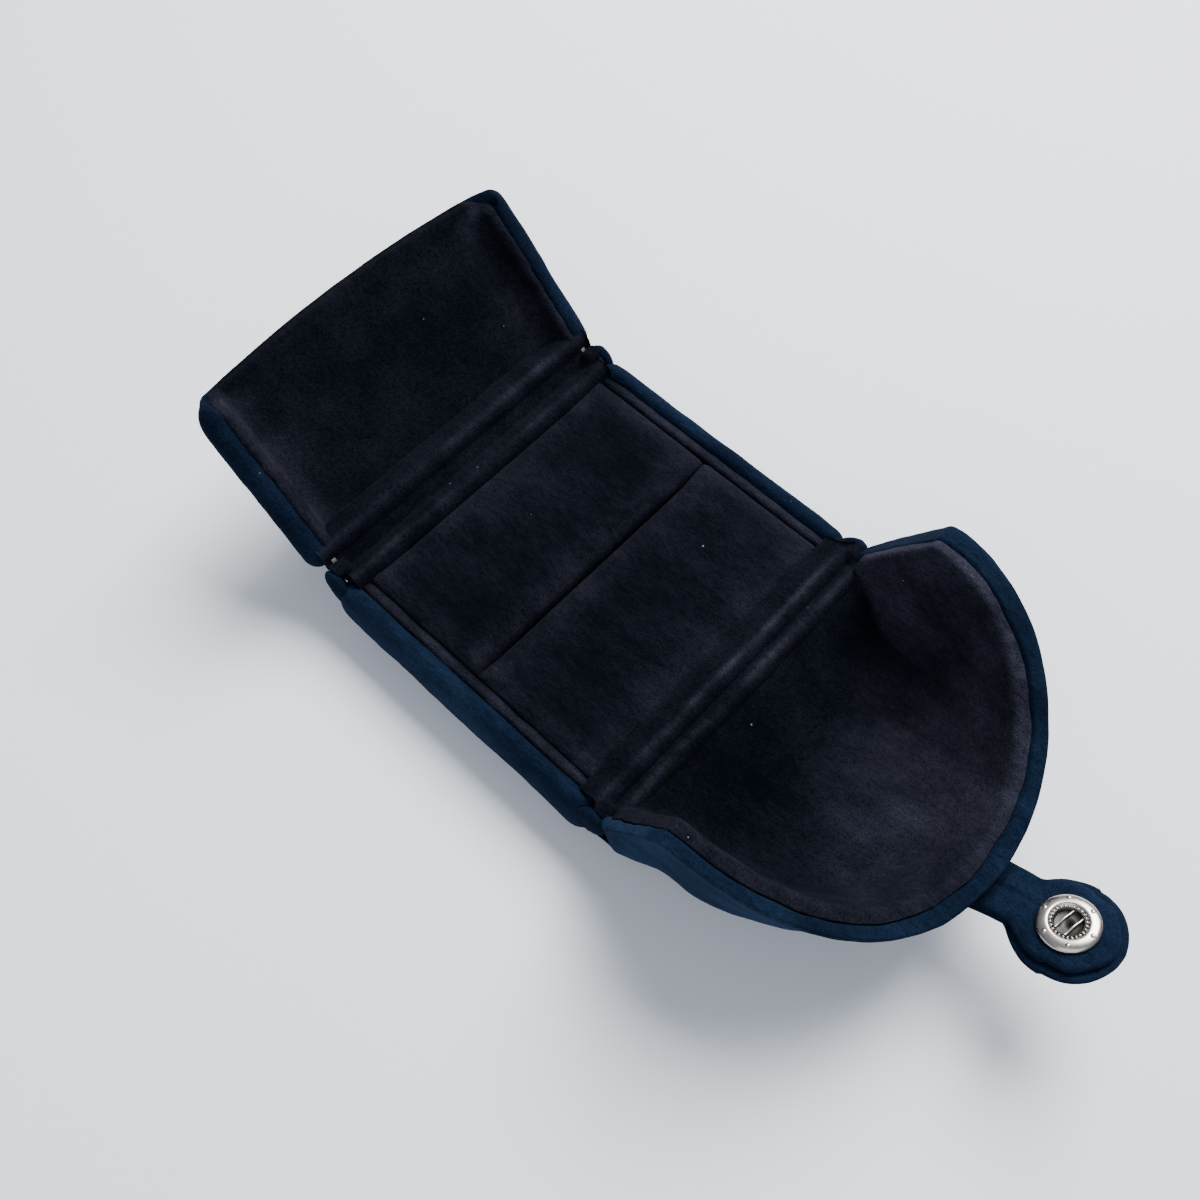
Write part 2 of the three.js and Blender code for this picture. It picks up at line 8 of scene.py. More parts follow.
import bmesh
import bpy
import numpy as np
from mathutils import Matrix, Vector, noise

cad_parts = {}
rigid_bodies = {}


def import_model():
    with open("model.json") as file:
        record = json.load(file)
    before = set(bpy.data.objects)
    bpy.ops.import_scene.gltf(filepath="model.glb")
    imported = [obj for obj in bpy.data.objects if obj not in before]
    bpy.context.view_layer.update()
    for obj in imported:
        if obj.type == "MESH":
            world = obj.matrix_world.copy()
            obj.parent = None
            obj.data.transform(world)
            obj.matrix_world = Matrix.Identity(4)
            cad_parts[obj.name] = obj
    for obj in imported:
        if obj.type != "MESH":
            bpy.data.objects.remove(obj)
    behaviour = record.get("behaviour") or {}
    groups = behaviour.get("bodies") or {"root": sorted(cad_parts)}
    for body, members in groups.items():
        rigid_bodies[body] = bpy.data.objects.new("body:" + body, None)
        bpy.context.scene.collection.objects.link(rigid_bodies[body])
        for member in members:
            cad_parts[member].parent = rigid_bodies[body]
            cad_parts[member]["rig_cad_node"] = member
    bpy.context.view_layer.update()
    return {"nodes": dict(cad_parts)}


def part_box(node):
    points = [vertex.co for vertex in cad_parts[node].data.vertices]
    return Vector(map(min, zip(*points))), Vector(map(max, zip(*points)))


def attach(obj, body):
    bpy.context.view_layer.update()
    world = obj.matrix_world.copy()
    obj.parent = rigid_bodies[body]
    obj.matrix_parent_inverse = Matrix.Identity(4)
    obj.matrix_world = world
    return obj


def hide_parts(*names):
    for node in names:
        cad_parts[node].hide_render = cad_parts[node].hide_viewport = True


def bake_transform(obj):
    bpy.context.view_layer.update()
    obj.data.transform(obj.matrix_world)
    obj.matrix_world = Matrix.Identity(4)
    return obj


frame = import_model()
scene = bpy.context.scene
MM = 0.001

# ---- driving places, the same as the CAD's ----
TRAY = {"half": 36.6, "front": -32.2, "rear": 30.6}
REAR_HINGE = (32.0, 14.0)
FRONT_HINGE = (-33.3, 14.4)
LID_ANGLE = math.radians(45.6)
LID = {"half": 36.0, "start": 2.8, "side_end": 35.6, "centre_end": 38.8}
SCOOP = {
    "hinge_half": 32.5, "half": 32.1, "ear_length": 12.6, "ear_height": 22.0,
    "tip_reach": 48.9, "tip_height": 6.0, "roundness": 2.08, "rim_fall": 2.36,
    "foot_half": 25.0, "foot_hinge_half": 31.0, "foot_reach": 41.0, "centre_reach": 34.0,
}
CREASE = (17.2, -10.4)
NOSE_RISE = 6.2
STRAP_ROOT = (FRONT_HINGE[0] - 50.9, FRONT_HINGE[1] - 2.4)
STRAP_TILT = math.radians(24)
STRAP_ROOT_TILT = math.radians(50)
SEWN_TILT = math.radians(8)
SEWN_LENGTH = 5.0
STRAP = {"bend": 9.0, "snap": 16.2, "half": 5.0, "waist": 4.6, "tab": 8.3, "layer": 1.2}


def smooth(low, high, x):
    t = np.clip((np.asarray(x, float) - low) / (high - low), 0, 1)
    return t * t * (3 - 2 * t)


def lerp(a, b, t):
    return a + (b - a) * t


def dome(share, power):
    """1 in the middle, falling to 0 at -1 and 1, the later the higher the power."""
    return math.sqrt(max(0.0, 1 - abs(share) ** power))


def unit(rows):
    return rows / np.linalg.norm(rows, axis=1)[:, None]


# ---- mesh helpers ----
def grid_faces(rows, cols, wrap=False):
    faces = []
    for i in range(rows - 1):
        for j in range(cols if wrap else cols - 1):
            k = (j + 1) % cols
            faces.append((i * cols + j, i * cols + k, (i + 1) * cols + k, (i + 1) * cols + j))
    return faces


def make_piece(name, points, faces, material, weld=0.0):
    mesh = bpy.data.meshes.new(name)
    mesh.from_pydata([tuple(p) for p in np.asarray(points, float) * MM], [], faces)
    obj = bpy.data.objects.new(name, mesh)
    scene.collection.objects.link(obj)
    bm = bmesh.new()
    bm.from_mesh(mesh)
    if weld:
        bmesh.ops.remove_doubles(bm, verts=bm.verts, dist=weld * MM)
    bmesh.ops.recalc_face_normals(bm, faces=bm.faces)
    bm.to_mesh(mesh)
    bm.free()
    mesh.shade_smooth()
    mesh.materials.append(material)
    return obj


def loft(name, rings, material, weld=0.0):
    """Closed rings, one after another, with a flat cap at each end."""
    rings = np.asarray(rings, float)
    rows, cols = rings.shape[:2]
    faces = grid_faces(rows, cols, wrap=True)
    faces.append(tuple(range(cols)))
    faces.append(tuple(reversed(range((rows - 1) * cols, rows * cols))))
    return make_piece(name, rings.reshape(-1, 3), faces, material, weld)


def vectors(mesh, name):
    out = np.zeros(len(mesh.vertices) * 3)
    mesh.vertices.foreach_get(name, out)
    return out.reshape(-1, 3)


def points_of(obj):
    return vectors(obj.data, "co") / MM


def normals_of(obj):
    return vectors(obj.data, "normal")


def set_points(obj, points):
    obj.data.vertices.foreach_set("co", (np.asarray(points) * MM).ravel())
    obj.data.update()


def uneven(obj, amount, size, seed, mask=None):
    """Soft lumps along the normals, in two sizes, so that cloth doesn't look machined."""
    co, normal = points_of(obj), normals_of(obj)
    shift = np.empty(len(co))
    for i, p in enumerate(co):
        v = Vector(p / size) + Vector((seed * 7.3, seed * 3.1, seed * 1.7))
        shift[i] = noise.noise(v) + 0.45 * noise.noise(v * 2.6)
    if mask is not None:
        shift = shift * mask(co)
    set_points(obj, co + normal * (shift * amount)[:, None])


def paint(obj, tone_and_painted_light):
    """Sets each vertex's lightness, which the velvets read: the cloth's own tone plus painted sheen, painted
    highlights and painted light in shaded places.
    """
    layer = obj.data.attributes.new("tone_and_painted_light", "FLOAT", "POINT")
    layer.data.foreach_set("value", np.full(len(obj.data.vertices), tone_and_painted_light, np.float32))


def convex_highlight(obj, reach=3, gain=1.0):
    """From 0 to 1 at each vertex, how convex the surface is, for a painted highlight along edges and ridges.
    """
    co, normal = points_of(obj), normals_of(obj)
    ends = np.zeros(len(obj.data.edges) * 2, int)
    obj.data.edges.foreach_get("vertices", ends)
    a, b = ends.reshape(-1, 2).T
    count = np.bincount(np.concatenate([a, b]), minlength=len(co)).astype(float)

    def around(values):
        total = np.zeros_like(values)
        np.add.at(total, a, values[b])
        np.add.at(total, b, values[a])
        return total / np.maximum(count, 1).reshape((-1,) + (1,) * (values.ndim - 1))

    mean = co
    for _ in range(reach * 3):
        mean = around(mean)
    convex = ((co - mean) * normal).sum(axis=1)
    for _ in range(2):
        convex = around(convex)
    return np.clip(convex * gain, 0, 1)


def subdivide(obj, levels=1):
    modifier = obj.modifiers.new("Smooth", "SUBSURF")
    modifier.levels = modifier.render_levels = levels


# ---- materials ----
class Nodes:
    def __init__(self, name):
        self.material = bpy.data.materials.new(name)
        self.material.use_nodes = True
        self.tree = self.material.node_tree
        self.shader = self.tree.nodes["Principled BSDF"]

    def add(self, kind, **settings):
        node = self.tree.nodes.new(kind)
        for key, value in settings.items():
            if hasattr(node, key):
                setattr(node, key, value)
            else:
                node.inputs[key.replace("_", " ")].default_value = value
        return node

    def link(self, source, target):
        self.tree.links.new(source, target)

    def surface(self, **settings):
        for key, value in settings.items():
            self.shader.inputs[key.replace("_", " ")].default_value = value

    def noise(self, scale, detail=2.0, roughness=0.5, stretch=(1, 1, 1)):
        place = self.add("ShaderNodeTexCoord")
        mapping = self.add("ShaderNodeMapping", Scale=stretch)
        texture = self.add("ShaderNodeTexNoise", Scale=scale, Detail=detail, Roughness=roughness)
        self.link(place.outputs["Object"], mapping.inputs["Vector"])
        self.link(mapping.outputs["Vector"], texture.inputs["Vector"])
        return texture.outputs["Fac"]

    def ramp(self, source, stops):
        node = self.add("ShaderNodeValToRGB")
        elements = node.color_ramp.elements
        while len(elements) < len(stops):
            elements.new(0.5)
        for element, (position, value) in zip(elements, stops):
            element.position = position
            colour = value if hasattr(value, "__len__") else (value, value, value)
            element.color = (*colour, 1)
        self.link(source, node.inputs["Fac"])
        return node.outputs["Color"]

    def math(self, operation, a, b):
        node = self.add("ShaderNodeMath", operation=operation)
        for socket, value in zip(node.inputs, (a, b)):
            if isinstance(value, (int, float)):
                socket.default_value = value
            else:
                self.link(value, socket)
        return node.outputs["Value"]

    def mix(self, factor, a, b):
        node = self.add("ShaderNodeMix", data_type="RGBA")
        # A colour mix keeps its factor, A, B and result at these places.
        for index, value in ((0, factor), (6, a), (7, b)):
            if isinstance(value, tuple):
                node.inputs[index].default_value = (*value, 1)
            else:
                self.link(value, node.inputs[index])
        return node.outputs[2]

    def bump(self, height, strength, distance):
        node = self.add("ShaderNodeBump", Strength=strength, Distance=distance)
        self.link(height, node.inputs["Height"])
        self.link(node.outputs["Normal"], self.shader.inputs["Normal"])


TONE_AND_LIGHT_RANGE = 3.0  # the lightness, own tone plus painted light, may go this far past 1, its light colour, before it is cut off
STROKE_SCALE, PATCH_SCALE, PILE_SCALE, TUFT_SCALE = 150, 38, 3600, 1500
LINT_SCALE, LINT_COLOUR = 260, (0.24, 0.25, 0.28)


def velvet(name, dark, light, sheen, sheen_weight, grain_size, lint):
    """Short pile: dark, made lighter by each vertex's lightness, which carries painted sheen and highlights,
    with random brushed streaks and patches and a few specks of lint.
    """
    n = Nodes(name)
    brushed = n.noise(STROKE_SCALE, 3, 0.6, (1.0, 0.45, 0.8))
    patches = n.noise(PATCH_SCALE, 1, 0.5)
    pile = n.noise(PILE_SCALE, 1, 0.6)
    tufts = n.noise(TUFT_SCALE, 2, 0.65, (1.0, 0.35, 1.0))
    # Per-vertex lightness: the cloth's own tone plus painted sheen, painted highlights and painted light in
    # shade.
    tone_and_painted_light = n.add("ShaderNodeAttribute", attribute_name="tone_and_painted_light")
    strokes = n.ramp(brushed, [(0.38, 0.0), (0.68, 1.0)])
    stroke = n.math("MULTIPLY", strokes, 0.12)
    broken = n.math("ADD", n.math("MULTIPLY", strokes, 0.75), 0.68)
    patch = n.math("MULTIPLY", n.ramp(patches, [(0.4, 0.0), (0.7, 1.0)]), 0.08)
    grain = n.math("MULTIPLY", n.math("SUBTRACT", pile, 0.5), 2.2 * grain_size)
    tuft = n.math("MULTIPLY", n.math("SUBTRACT", tufts, 0.5), 1.5 * grain_size)
    base = n.math("ADD", n.math("ADD", stroke, patch), n.math("MULTIPLY", tone_and_painted_light.outputs["Fac"], broken))
    rough = n.math("MULTIPLY", n.math("ADD", grain, tuft), n.math("ADD", base, 0.16))
    level = n.math("MULTIPLY", n.math("ADD", base, rough), 1 / TONE_AND_LIGHT_RANGE)
    clamped = n.add("ShaderNodeClamp")
    n.link(level, clamped.inputs["Value"])
    brightest = tuple(lerp(d, l, TONE_AND_LIGHT_RANGE) for d, l in zip(dark, light))
    colour = n.mix(clamped.outputs["Result"], dark, brightest)
    specks = n.add("ShaderNodeTexVoronoi", Scale=LINT_SCALE)
    place = n.add("ShaderNodeTexCoord")
    n.link(place.outputs["Object"], specks.inputs["Vector"])
    near = n.ramp(specks.outputs["Distance"], [(0.0, 1.0), (0.035, 1.0), (0.055, 0.0)])
    some = n.ramp(n.noise(420, 1, 0.5), [(0.0, 0.0), (0.57, 0.0), (0.60, 1.0)])
    shown = n.math("MULTIPLY", n.math("MULTIPLY", near, some), lint)
    colour = n.mix(shown, colour, LINT_COLOUR)
    n.link(colour, n.shader.inputs["Base Color"])
    n.surface(Roughness=0.95, Specular_IOR_Level=0.03)
    n.surface(Sheen_Weight=sheen_weight, Sheen_Roughness=0.42, Sheen_Tint=(*sheen, 1))
    height = n.math("ADD", n.math("MULTIPLY", pile, 0.5), n.math("MULTIPLY", tufts, 1.0))
    n.bump(height, 0.55, 0.00035)
    return n.material


def metal(name, colour, roughness, scratch):
    n = Nodes(name)
    fine = n.noise(900, 3, 0.6, (1, 1, 0.25))
    cloudy = n.noise(240, 2, 0.5)
    n.link(n.mix(cloudy, tuple(c * 0.86 for c in colour), colour), n.shader.inputs["Base Color"])
    shine = n.add("ShaderNodeMapRange", To_Min=roughness - 0.06, To_Max=roughness + 0.1)
    n.link(fine, shine.inputs["Value"])
    n.link(shine.outputs["Result"], n.shader.inputs["Roughness"])
    n.surface(Metallic=1.0)
    n.bump(fine, scratch, 0.00004)
    return n.material


def card():
    n = Nodes("grey_card")
    fibres = n.noise(1500, 4, 0.7, (1, 0.3, 1))
    n.link(n.mix(fibres, (0.20, 0.18, 0.14), (0.33, 0.30, 0.25)), n.shader.inputs["Base Color"])
    n.surface(Roughness=0.92)
    n.bump(fibres, 0.3, 0.0001)
    return n.material


def floor_material():
    n = Nodes("pale_floor")
    soft = n.noise(6, 2, 0.5)
    n.link(n.mix(soft, (0.715, 0.738, 0.80), (0.745, 0.765, 0.825)), n.shader.inputs["Base Color"])
    n.surface(Roughness=0.75, Specular_IOR_Level=0.25)
    return n.material


NAVY = velvet(
    "navy_velvet", dark=(0.0006, 0.0020, 0.0064), light=(0.0072, 0.0165, 0.0375),
    sheen=(0.14, 0.34, 0.74), sheen_weight=0.03, grain_size=0.75, lint=0.2)
LINING = velvet(
    "lining_velvet", dark=(0.0003, 0.0010, 0.0024), light=(0.0150, 0.0155, 0.0250),
    sheen=(0.50, 0.52, 0.72), sheen_weight=0.014, grain_size=0.8, lint=0.5)
STEEL = metal("brushed_steel", (0.50, 0.50, 0.51), roughness=0.34, scratch=0.25)
NICKEL = metal("nickel_plate", (0.50, 0.46, 0.42), roughness=0.24, scratch=0.12)
DARK_STEEL = metal("shaded_steel", (0.045, 0.042, 0.040), roughness=0.45, scratch=0.25)
CARD = card()


# ---- outlines ----
def rounded_rectangle(x0, x1, y0, y1, radii, n_side=26, n_corner=10):
    """Anticlockwise from the front left. radii are front and rear."""
    front, rear = radii
    corners = [(x1, y0, -90, front), (x1, y1, 0, rear), (x0, y1, 90, rear), (x0, y0, 180, front)]
    centres = []
    for x, y, turn, r in corners:
        centres.append((x - math.copysign(r, x), y - math.copysign(r, y - (y0 + y1) / 2), turn, r))
    points = []
    for index, (cx, cy, turn, r) in enumerate(centres):
        for k in range(n_corner):
            a = math.radians(turn + 90 * k / (n_corner - 1))
            points.append((cx + r * math.cos(a), cy + r * math.sin(a)))
        nx, ny, nturn, nr = centres[(index + 1) % 4]
        a = math.radians(nturn)
        end = (nx + nr * math.cos(a), ny + nr * math.sin(a))
        start = points[-1]
        for k in range(1, n_side):
            points.append((lerp(start[0], end[0], k / n_side), lerp(start[1], end[1], k / n_side)))
    return np.array(points)


def outward(outline):
    ahead = np.roll(outline, -1, axis=0) - np.roll(outline, 1, axis=0)
    return unit(np.stack([ahead[:, 1], -ahead[:, 0]], axis=1))


def shell_rings(outline, stations, centre, height_at):
    """Rings from the middle of the back, out round the edge and back to the middle of the inside.
    A station is (inset from the outline, height, share drawn in to the centre)."""
    normal = outward(outline)
    rings = []
    for inset, height, drawn in stations:
        ring = outline - normal * inset
        ring = lerp(ring, np.asarray(centre, float), drawn)
        rings.append(np.column_stack([ring, height_at(height)]))
    return rings


# ---- tray ----
def tray_cover():
    outline = rounded_rectangle(-TRAY["half"], TRAY["half"], TRAY["front"], TRAY["rear"] + 0.5, (4.6, 3.8))
    stations = [
        (3.7, 0.0, 0.9), (3.7, 0.0, 0.5), (3.7, 0.0, 0.14), (3.7, 0.05, 0.05), (3.7, 0.45, 0), (2.3, 1.25, 0),
        (1.3, 2.5, 0), (0.6, 4.2, 0), (0.2, 6.2, 0), (0.0, 8.2, 0), (0.05, 10.0, 0), (0.3, 11.4, 0),
        (0.8, 12.7, 0), (1.5, 13.65, 0), (2.3, 14.15, 0), (3.0, 14.2, 0), (3.7, 13.8, 0),
        (4.2, 13.0, 0), (4.35, 11.5, 0), (4.4, 8.0, 0), (4.5, 3.4, 0), (5.2, 2.7, 0),
        (5.2, 2.6, 0.5), (5.2, 2.6, 0.9),
    ]

    def height_at(height):
        x, y = outline.T
        end = smooth(32.5, 28.0, np.abs(x)) * (np.abs(y + 0.8) > 27)
        corner = smooth(25.5, 31.0, np.abs(y + 0.8)) * smooth(27, 32, np.abs(x))
        low = max(height - 5.0, 0.0) / 9.2
        return height - end * low * 4.6 - corner * low * 0.5

    obj = loft("tray_cover", shell_rings(outline, stations, (0, -0.8), height_at), NAVY)
    uneven(obj, 0.22, 9.0, 1, lambda p: smooth(0.2, 3.0, p[:, 2]))
    co = points_of(obj)
    # Painted sheen: the left wall is painted lighter above its foot, and convex edges get a painted
    # highlight.
    left = smooth(33, 36.5, -co[:, 0]) * smooth(2, 9, co[:, 2])
    paint(obj, 0.11 + 0.30 * left + 0.14 * convex_highlight(obj, 2, 2.0))
    return obj


def roll(name, path, half_width, height, material, cols=14):
    """A padded strip along a path of (x, y, z) points: flat below and crowned above."""
    path = np.asarray(path, float)
    side = unit(np.cross(unit(np.gradient(path, axis=0)), (0, 0, 1.0)))
    rings = []
    rows = len(path)
    for i in range(rows):
        share = i / (rows - 1)
        taper = dome(2 * share - 1, 14) * 0.9 + 0.1
        ring = []
        for k in range(cols):
            a = 2 * math.pi * k / cols
            s, c = math.sin(a), math.cos(a)
            up = height * (abs(s) ** 0.8) * (1 if s > 0 else -0.45) * taper
            across = side[i] * half_width * math.copysign(abs(c) ** 0.75, c) * taper
            ring.append(path[i] + across + np.array([0, 0, up]))
        rings.append(ring)
    return loft(name, rings, material)


def side_rolls():
    pieces = []
    for side, hand in ((-1, "left"), (1, "right")):
        ys = np.linspace(-29.8, 28.4, 70)
        path = [(side * 31.35, y, 11.5) for y in ys]
        obj = roll(f"tray_lining_{hand}", path, half_width=1.25, height=1.9, material=LINING)
        uneven(obj, 0.2, 5.0, 11 + side)
        # Painted highlight along each roll's crowned top.
        paint(obj, 0.05 + 0.35 * smooth(12.7, 13.5, points_of(obj)[:, 2]))
        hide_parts(f"base_lining_{hand}")
        pieces.append(obj)
    return pieces


# ---- pads, puffed by a cloth simulation ----
def pad_block(name, x0, x1, y0, y1, z0, z1, edge):
    outline = rounded_rectangle(x0, x1, y0, y1, (edge, edge), n_side=40, n_corner=5)
    rings = []
    for inset, z in ((2.0, z0), (0.5, z0 + 0.4), (0, z0 + 1.6), (0, z1 - 1.5), (0.5, z1 - 0.4), (1.9, z1)):
        ring = outline - outward(outline) * min(inset, edge * 0.9)
        rings.append(np.column_stack([ring, np.full(len(ring), z)]))
    return loft(name, rings, LINING)


def puffed(obj, grow, voxel, cap, frames=20):
    """Remeshes and inflates a block, by at most cap, at ten times its size, where cloth behaves."""
    big = 10.0
    set_points(obj, points_of(obj) * big)
    bpy.context.view_layer.objects.active = obj
    remesh = obj.modifiers.new("Even", "REMESH")
    remesh.mode = "VOXEL"
    remesh.voxel_size = voxel * big * MM
    bpy.ops.object.modifier_apply(modifier="Even")
    start = points_of(obj)
    cloth = obj.modifiers.new("Puff", "CLOTH")
    settings = cloth.settings
    settings.quality = 6
    settings.mass = 0.3
    settings.use_pressure = True
    settings.uniform_pressure_force = grow
    settings.effector_weights.gravity = 0.0
    settings.tension_stiffness = 18
    settings.compression_stiffness = 18
    settings.bending_stiffness = 0.6
    cloth.point_cache.frame_start = 1
    cloth.point_cache.frame_end = frames
    for step in range(1, frames + 1):
        scene.frame_set(step)
    bpy.context.view_layer.update()
    seen = obj.evaluated_get(bpy.context.evaluated_depsgraph_get())
    moved = points_of(seen)
    obj.modifiers.remove(cloth)
    scene.frame_set(1)
    shift = moved - start
    length = np.linalg.norm(shift, axis=1)
    shift *= np.minimum(1.0, cap * big / np.maximum(length, 1e-9))[:, None]
    set_points(obj, (start + shift) / big)
    obj.data.shade_smooth()


def seated(co, across, along, high, inward):
    """A puffed half pad pressed against the well it fills. inward is -1 for the half in front of the slit."""
    tight, wall, slit = 0.75, 0.18, 0.21  # how far it would swell, and how far it passes the CAD pad's sides
    middle = np.array([sum(across) / 2, sum(along) / 2])
    half = np.array([np.ptp(across) / 2, np.ptp(along) / 2])
    reach = np.abs(co[:, :2] - middle).max(axis=0)
    co[:, :2] = middle + (co[:, :2] - middle) * (half + tight) / reach
    co[:, 0] = np.clip(co[:, 0], across[0] - 0.2, across[1] + 0.2)
    near, far = (along[0] - slit, along[1] + wall) if inward > 0 else (along[0] - wall, along[1] + slit)
    ends = smooth(27.0, 28.5, np.abs(co[:, 0])) * 0.03 * inward
    co[:, 1] = np.clip(co[:, 1], near - ends, far - ends)
    top = co[:, 2].max()
    co[:, 2] = np.clip(co[:, 2] + (high[1] + 0.2 - top) * smooth(6, 11, co[:, 2]), high[0], high[1] + 0.25)
    return co


def pads():
    pieces = []
    for name, seed in (("pad_rear", 3), ("pad_front", 4)):
        low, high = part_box(name)
        x0, y0, z0 = (c / MM for c in low)
        x1, y1, z1 = (c / MM for c in high)
        obj = pad_block(f"{name}_cushion", x0 + 0.25, x1 - 0.25, y0 + 0.1, y1 - 0.1, z0 + 0.2, z1 - 0.35, 1.2)
        puffed(obj, grow=4.0, voxel=0.9, cap=0.85)
        set_points(obj, seated(points_of(obj), (x0, x1), (y0, y1), (z0, z1), 1 if name == "pad_rear" else -1))
        subdivide(obj)
        uneven(obj, 0.10, 12.0, seed)
        co = points_of(obj)
        # Painted highlight: the pad's border is painted a little lighter, and its convex edges more.
        border_highlight = np.maximum(smooth(27.5, 29.8, np.abs(co[:, 0])), smooth(24.6, 27.2, np.abs(co[:, 1])))
        paint(obj, 0.02 + 0.02 * border_highlight + 0.35 * convex_highlight(obj, 2, 3.0))
        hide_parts(name)
        pieces.append(obj)
    return pieces


# ---- lid ----
def lid_world(points):
    """(x, u, v) in the lid, from its hinge, to the row frame."""
    p = np.asarray(points, float)
    s, c = math.sin(LID_ANGLE), math.cos(LID_ANGLE)
    out = np.empty_like(p)
    out[..., 0] = p[..., 0]
    out[..., 1] = REAR_HINGE[0] + p[..., 1] * c - p[..., 2] * s
    out[..., 2] = REAR_HINGE[1] + p[..., 1] * s + p[..., 2] * c
    return out


LID_CORNERS = (4.4, 2.4)


def lid_end(x):
    """How far the lid's curved end reaches at x. Its left corner is rounder than its right one."""
    x = np.asarray(x, float)
    half = LID["half"]
    share = np.clip(np.abs(x) / half, 0, 1)
    bulge = LID["side_end"] + 0.9 + (LID["centre_end"] - LID["side_end"] - 0.9) * (1 - share ** 2)
    corner = np.where(x < 0, LID_CORNERS[0], LID_CORNERS[1])
    t = np.sqrt(np.clip((half - np.abs(x)) / corner, 0, 1))
    return bulge - (1 - t) ** 2 * (bulge - LID["side_end"] + corner)


def lid_outline():
    """Anticlockwise from the left end of the hinge side."""
    half, start, r = LID["half"], LID["start"] - 1.3, 3.0
    left, right = LID_CORNERS
    points = []
    for k in range(11):
        a = math.radians(180 + 90 * k / 10)
        points.append((-half + r * (1 + math.cos(a)), start + r * (1 + math.sin(a))))
    for k in range(1, 40):
        points.append((lerp(-half + r, half - r, k / 40), start))
    for k in range(11):
        a = math.radians(270 + 90 * k / 10)
        points.append((half - r * (1 - math.cos(a)), start + r * (1 + math.sin(a))))
    for k in range(1, 26):
        points.append((half, lerp(start + r, LID["side_end"] - right, k / 26)))
    end = [half - right * (k / 10) ** 2 for k in range(11)]
    end += [lerp(half - right, left - half, k / 40) for k in range(1, 40)]
    end += [left * (k / 10) ** 2 - half for k in range(10, -1, -1)]
    points += [(x, float(lid_end(x))) for x in end]
    for k in range(1, 26):
        points.append((-half, lerp(LID["side_end"] - left, start + r, k / 26)))
    return np.array(points)


def lid_cover():
    outline = lid_outline()
    stations = [
        (2.3, -8.8, 0.9), (2.3, -8.8, 0.5), (2.3, -8.8, 0.16), (2.3, -8.7, 0.08), (2.3, -8.25, 0.03),
        (2.1, -7.5, 0),
        (1.1, -6.4, 0), (0.45, -5.2, 0), (0.1, -4.0, 0), (0.0, -3.0, 0), (0.25, -2.0, 0), (0.8, -1.2, 0),
        (1.5, -0.65, 0), (2.4, -0.4, 0), (3.2, -0.5, 0), (3.8, -0.95, 0), (4.1, -1.8, 0), (4.3, -3.6, 0),
        (4.6, -5.0, 0), (5.4, -5.6, 0), (5.4, -5.6, 0.5), (5.4, -5.6, 0.9),
    ]

    def height_at(height):
        x, u = outline.T
        end = smooth(33.8, 31.6, np.abs(x)) * smooth(32.5, 35.8, u)
        hinge = smooth(33.8, 31.6, np.abs(x)) * smooth(6.0, 4.0, u)
        high = max(height + 7.5, 0) / 7.1
        return height - (end * 5.4 + hinge * 6.2) * high

    rings = [lid_world(r) for r in shell_rings(outline, stations, (0, 20), height_at)]
    obj = loft("lid_cover", rings, NAVY)
    uneven(obj, 0.25, 8.0, 5)
    co = points_of(obj)
    # Painted sheen on the left outer edge, and a painted highlight on convex edges.
    outer_edge = smooth(33.5, 36, np.abs(co[:, 0]))
    left = outer_edge * (co[:, 0] < 0)
    paint(obj, 0.10 + 0.04 * left + 0.12 * convex_highlight(obj, 2, 2.0))
    return obj


def lid_lining():
    """One sheet with a thickness: over the side walls, flat on the floor and out to the curved end."""
    floor, foot, widening, thickness = -4.6, 27.3, 1.04, 1.0
    wall = [(-32.2, -0.95), (-31.8, -0.5), (-31.0, -0.5), (-30.3, -1.1), (-29.9, -2.5), (-29.4, -3.6),
            (-28.5, -4.3), (-foot, floor)]
    flat = [(lerp(-foot, foot, k / 30), floor) for k in range(1, 30)]
    profile = np.array(wall + flat + [(-x, v) for x, v in reversed(wall)])
    rows = 60
    rings = []
    for i in range(rows):
        share = i / (rows - 1)
        x = profile[:, 0]
        near_x = x * widening
        edge = lid_end(near_x) - lerp(-0.05, 1.3, smooth(29.5, 33.0, np.abs(near_x)))
        u = lerp(4.4, edge, 1 - (1 - share) ** 1.35)
        near_end = smooth(33.0, 36.3, u)
        v = floor + (profile[:, 1] - floor) * (1 - 0.98 * near_end)
        fall = smooth(1.1, 0.0, edge - u) ** 1.5 * 1.9
        v = v - fall + 0.35 * near_end
        x = x * lerp(1.0, widening, near_end)
        for place, near_edge in ((0, x < -31.3), (5, x > 31.3)):
            coarse = noise.noise(Vector((share * 14, place, 1)))
            fine = noise.noise(Vector((share * 40, place, 3)))
            x = np.where(near_edge, x + (0.3 * coarse + 0.15 * fine), x)
        top = np.column_stack([x, u, v])
        under = top + np.array([0, 0, -thickness])
        rings.append(np.vstack([top, under[::-1]]))
    obj = loft("lid_lining", [lid_world(r) for r in rings], LINING)
    uneven(obj, 0.16, 8.0, 6)
    # Painted sheen: the side walls are painted lighter, the left one more, with a painted highlight on convex
    # edges.
    local = points_of(obj)
    wall = smooth(28.4, 30.6, np.abs(local[:, 0]))
    side = lerp(0.22, 0.42, (local[:, 0] < 0).astype(float))
    paint(obj, 0.02 + side * wall + 0.3 * convex_highlight(obj, 2, 2.5))
    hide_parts("lid_lining_panel", "lid_lining_left", "lid_lining_right")
    return obj


# ---- cloth over the hinges ----
LUG_COVER = 1.65  # radius of the lining's bulge over a hinge's steel lugs
HINGE_LINING = {"half_width": 34.2, "thickness": 1.0}


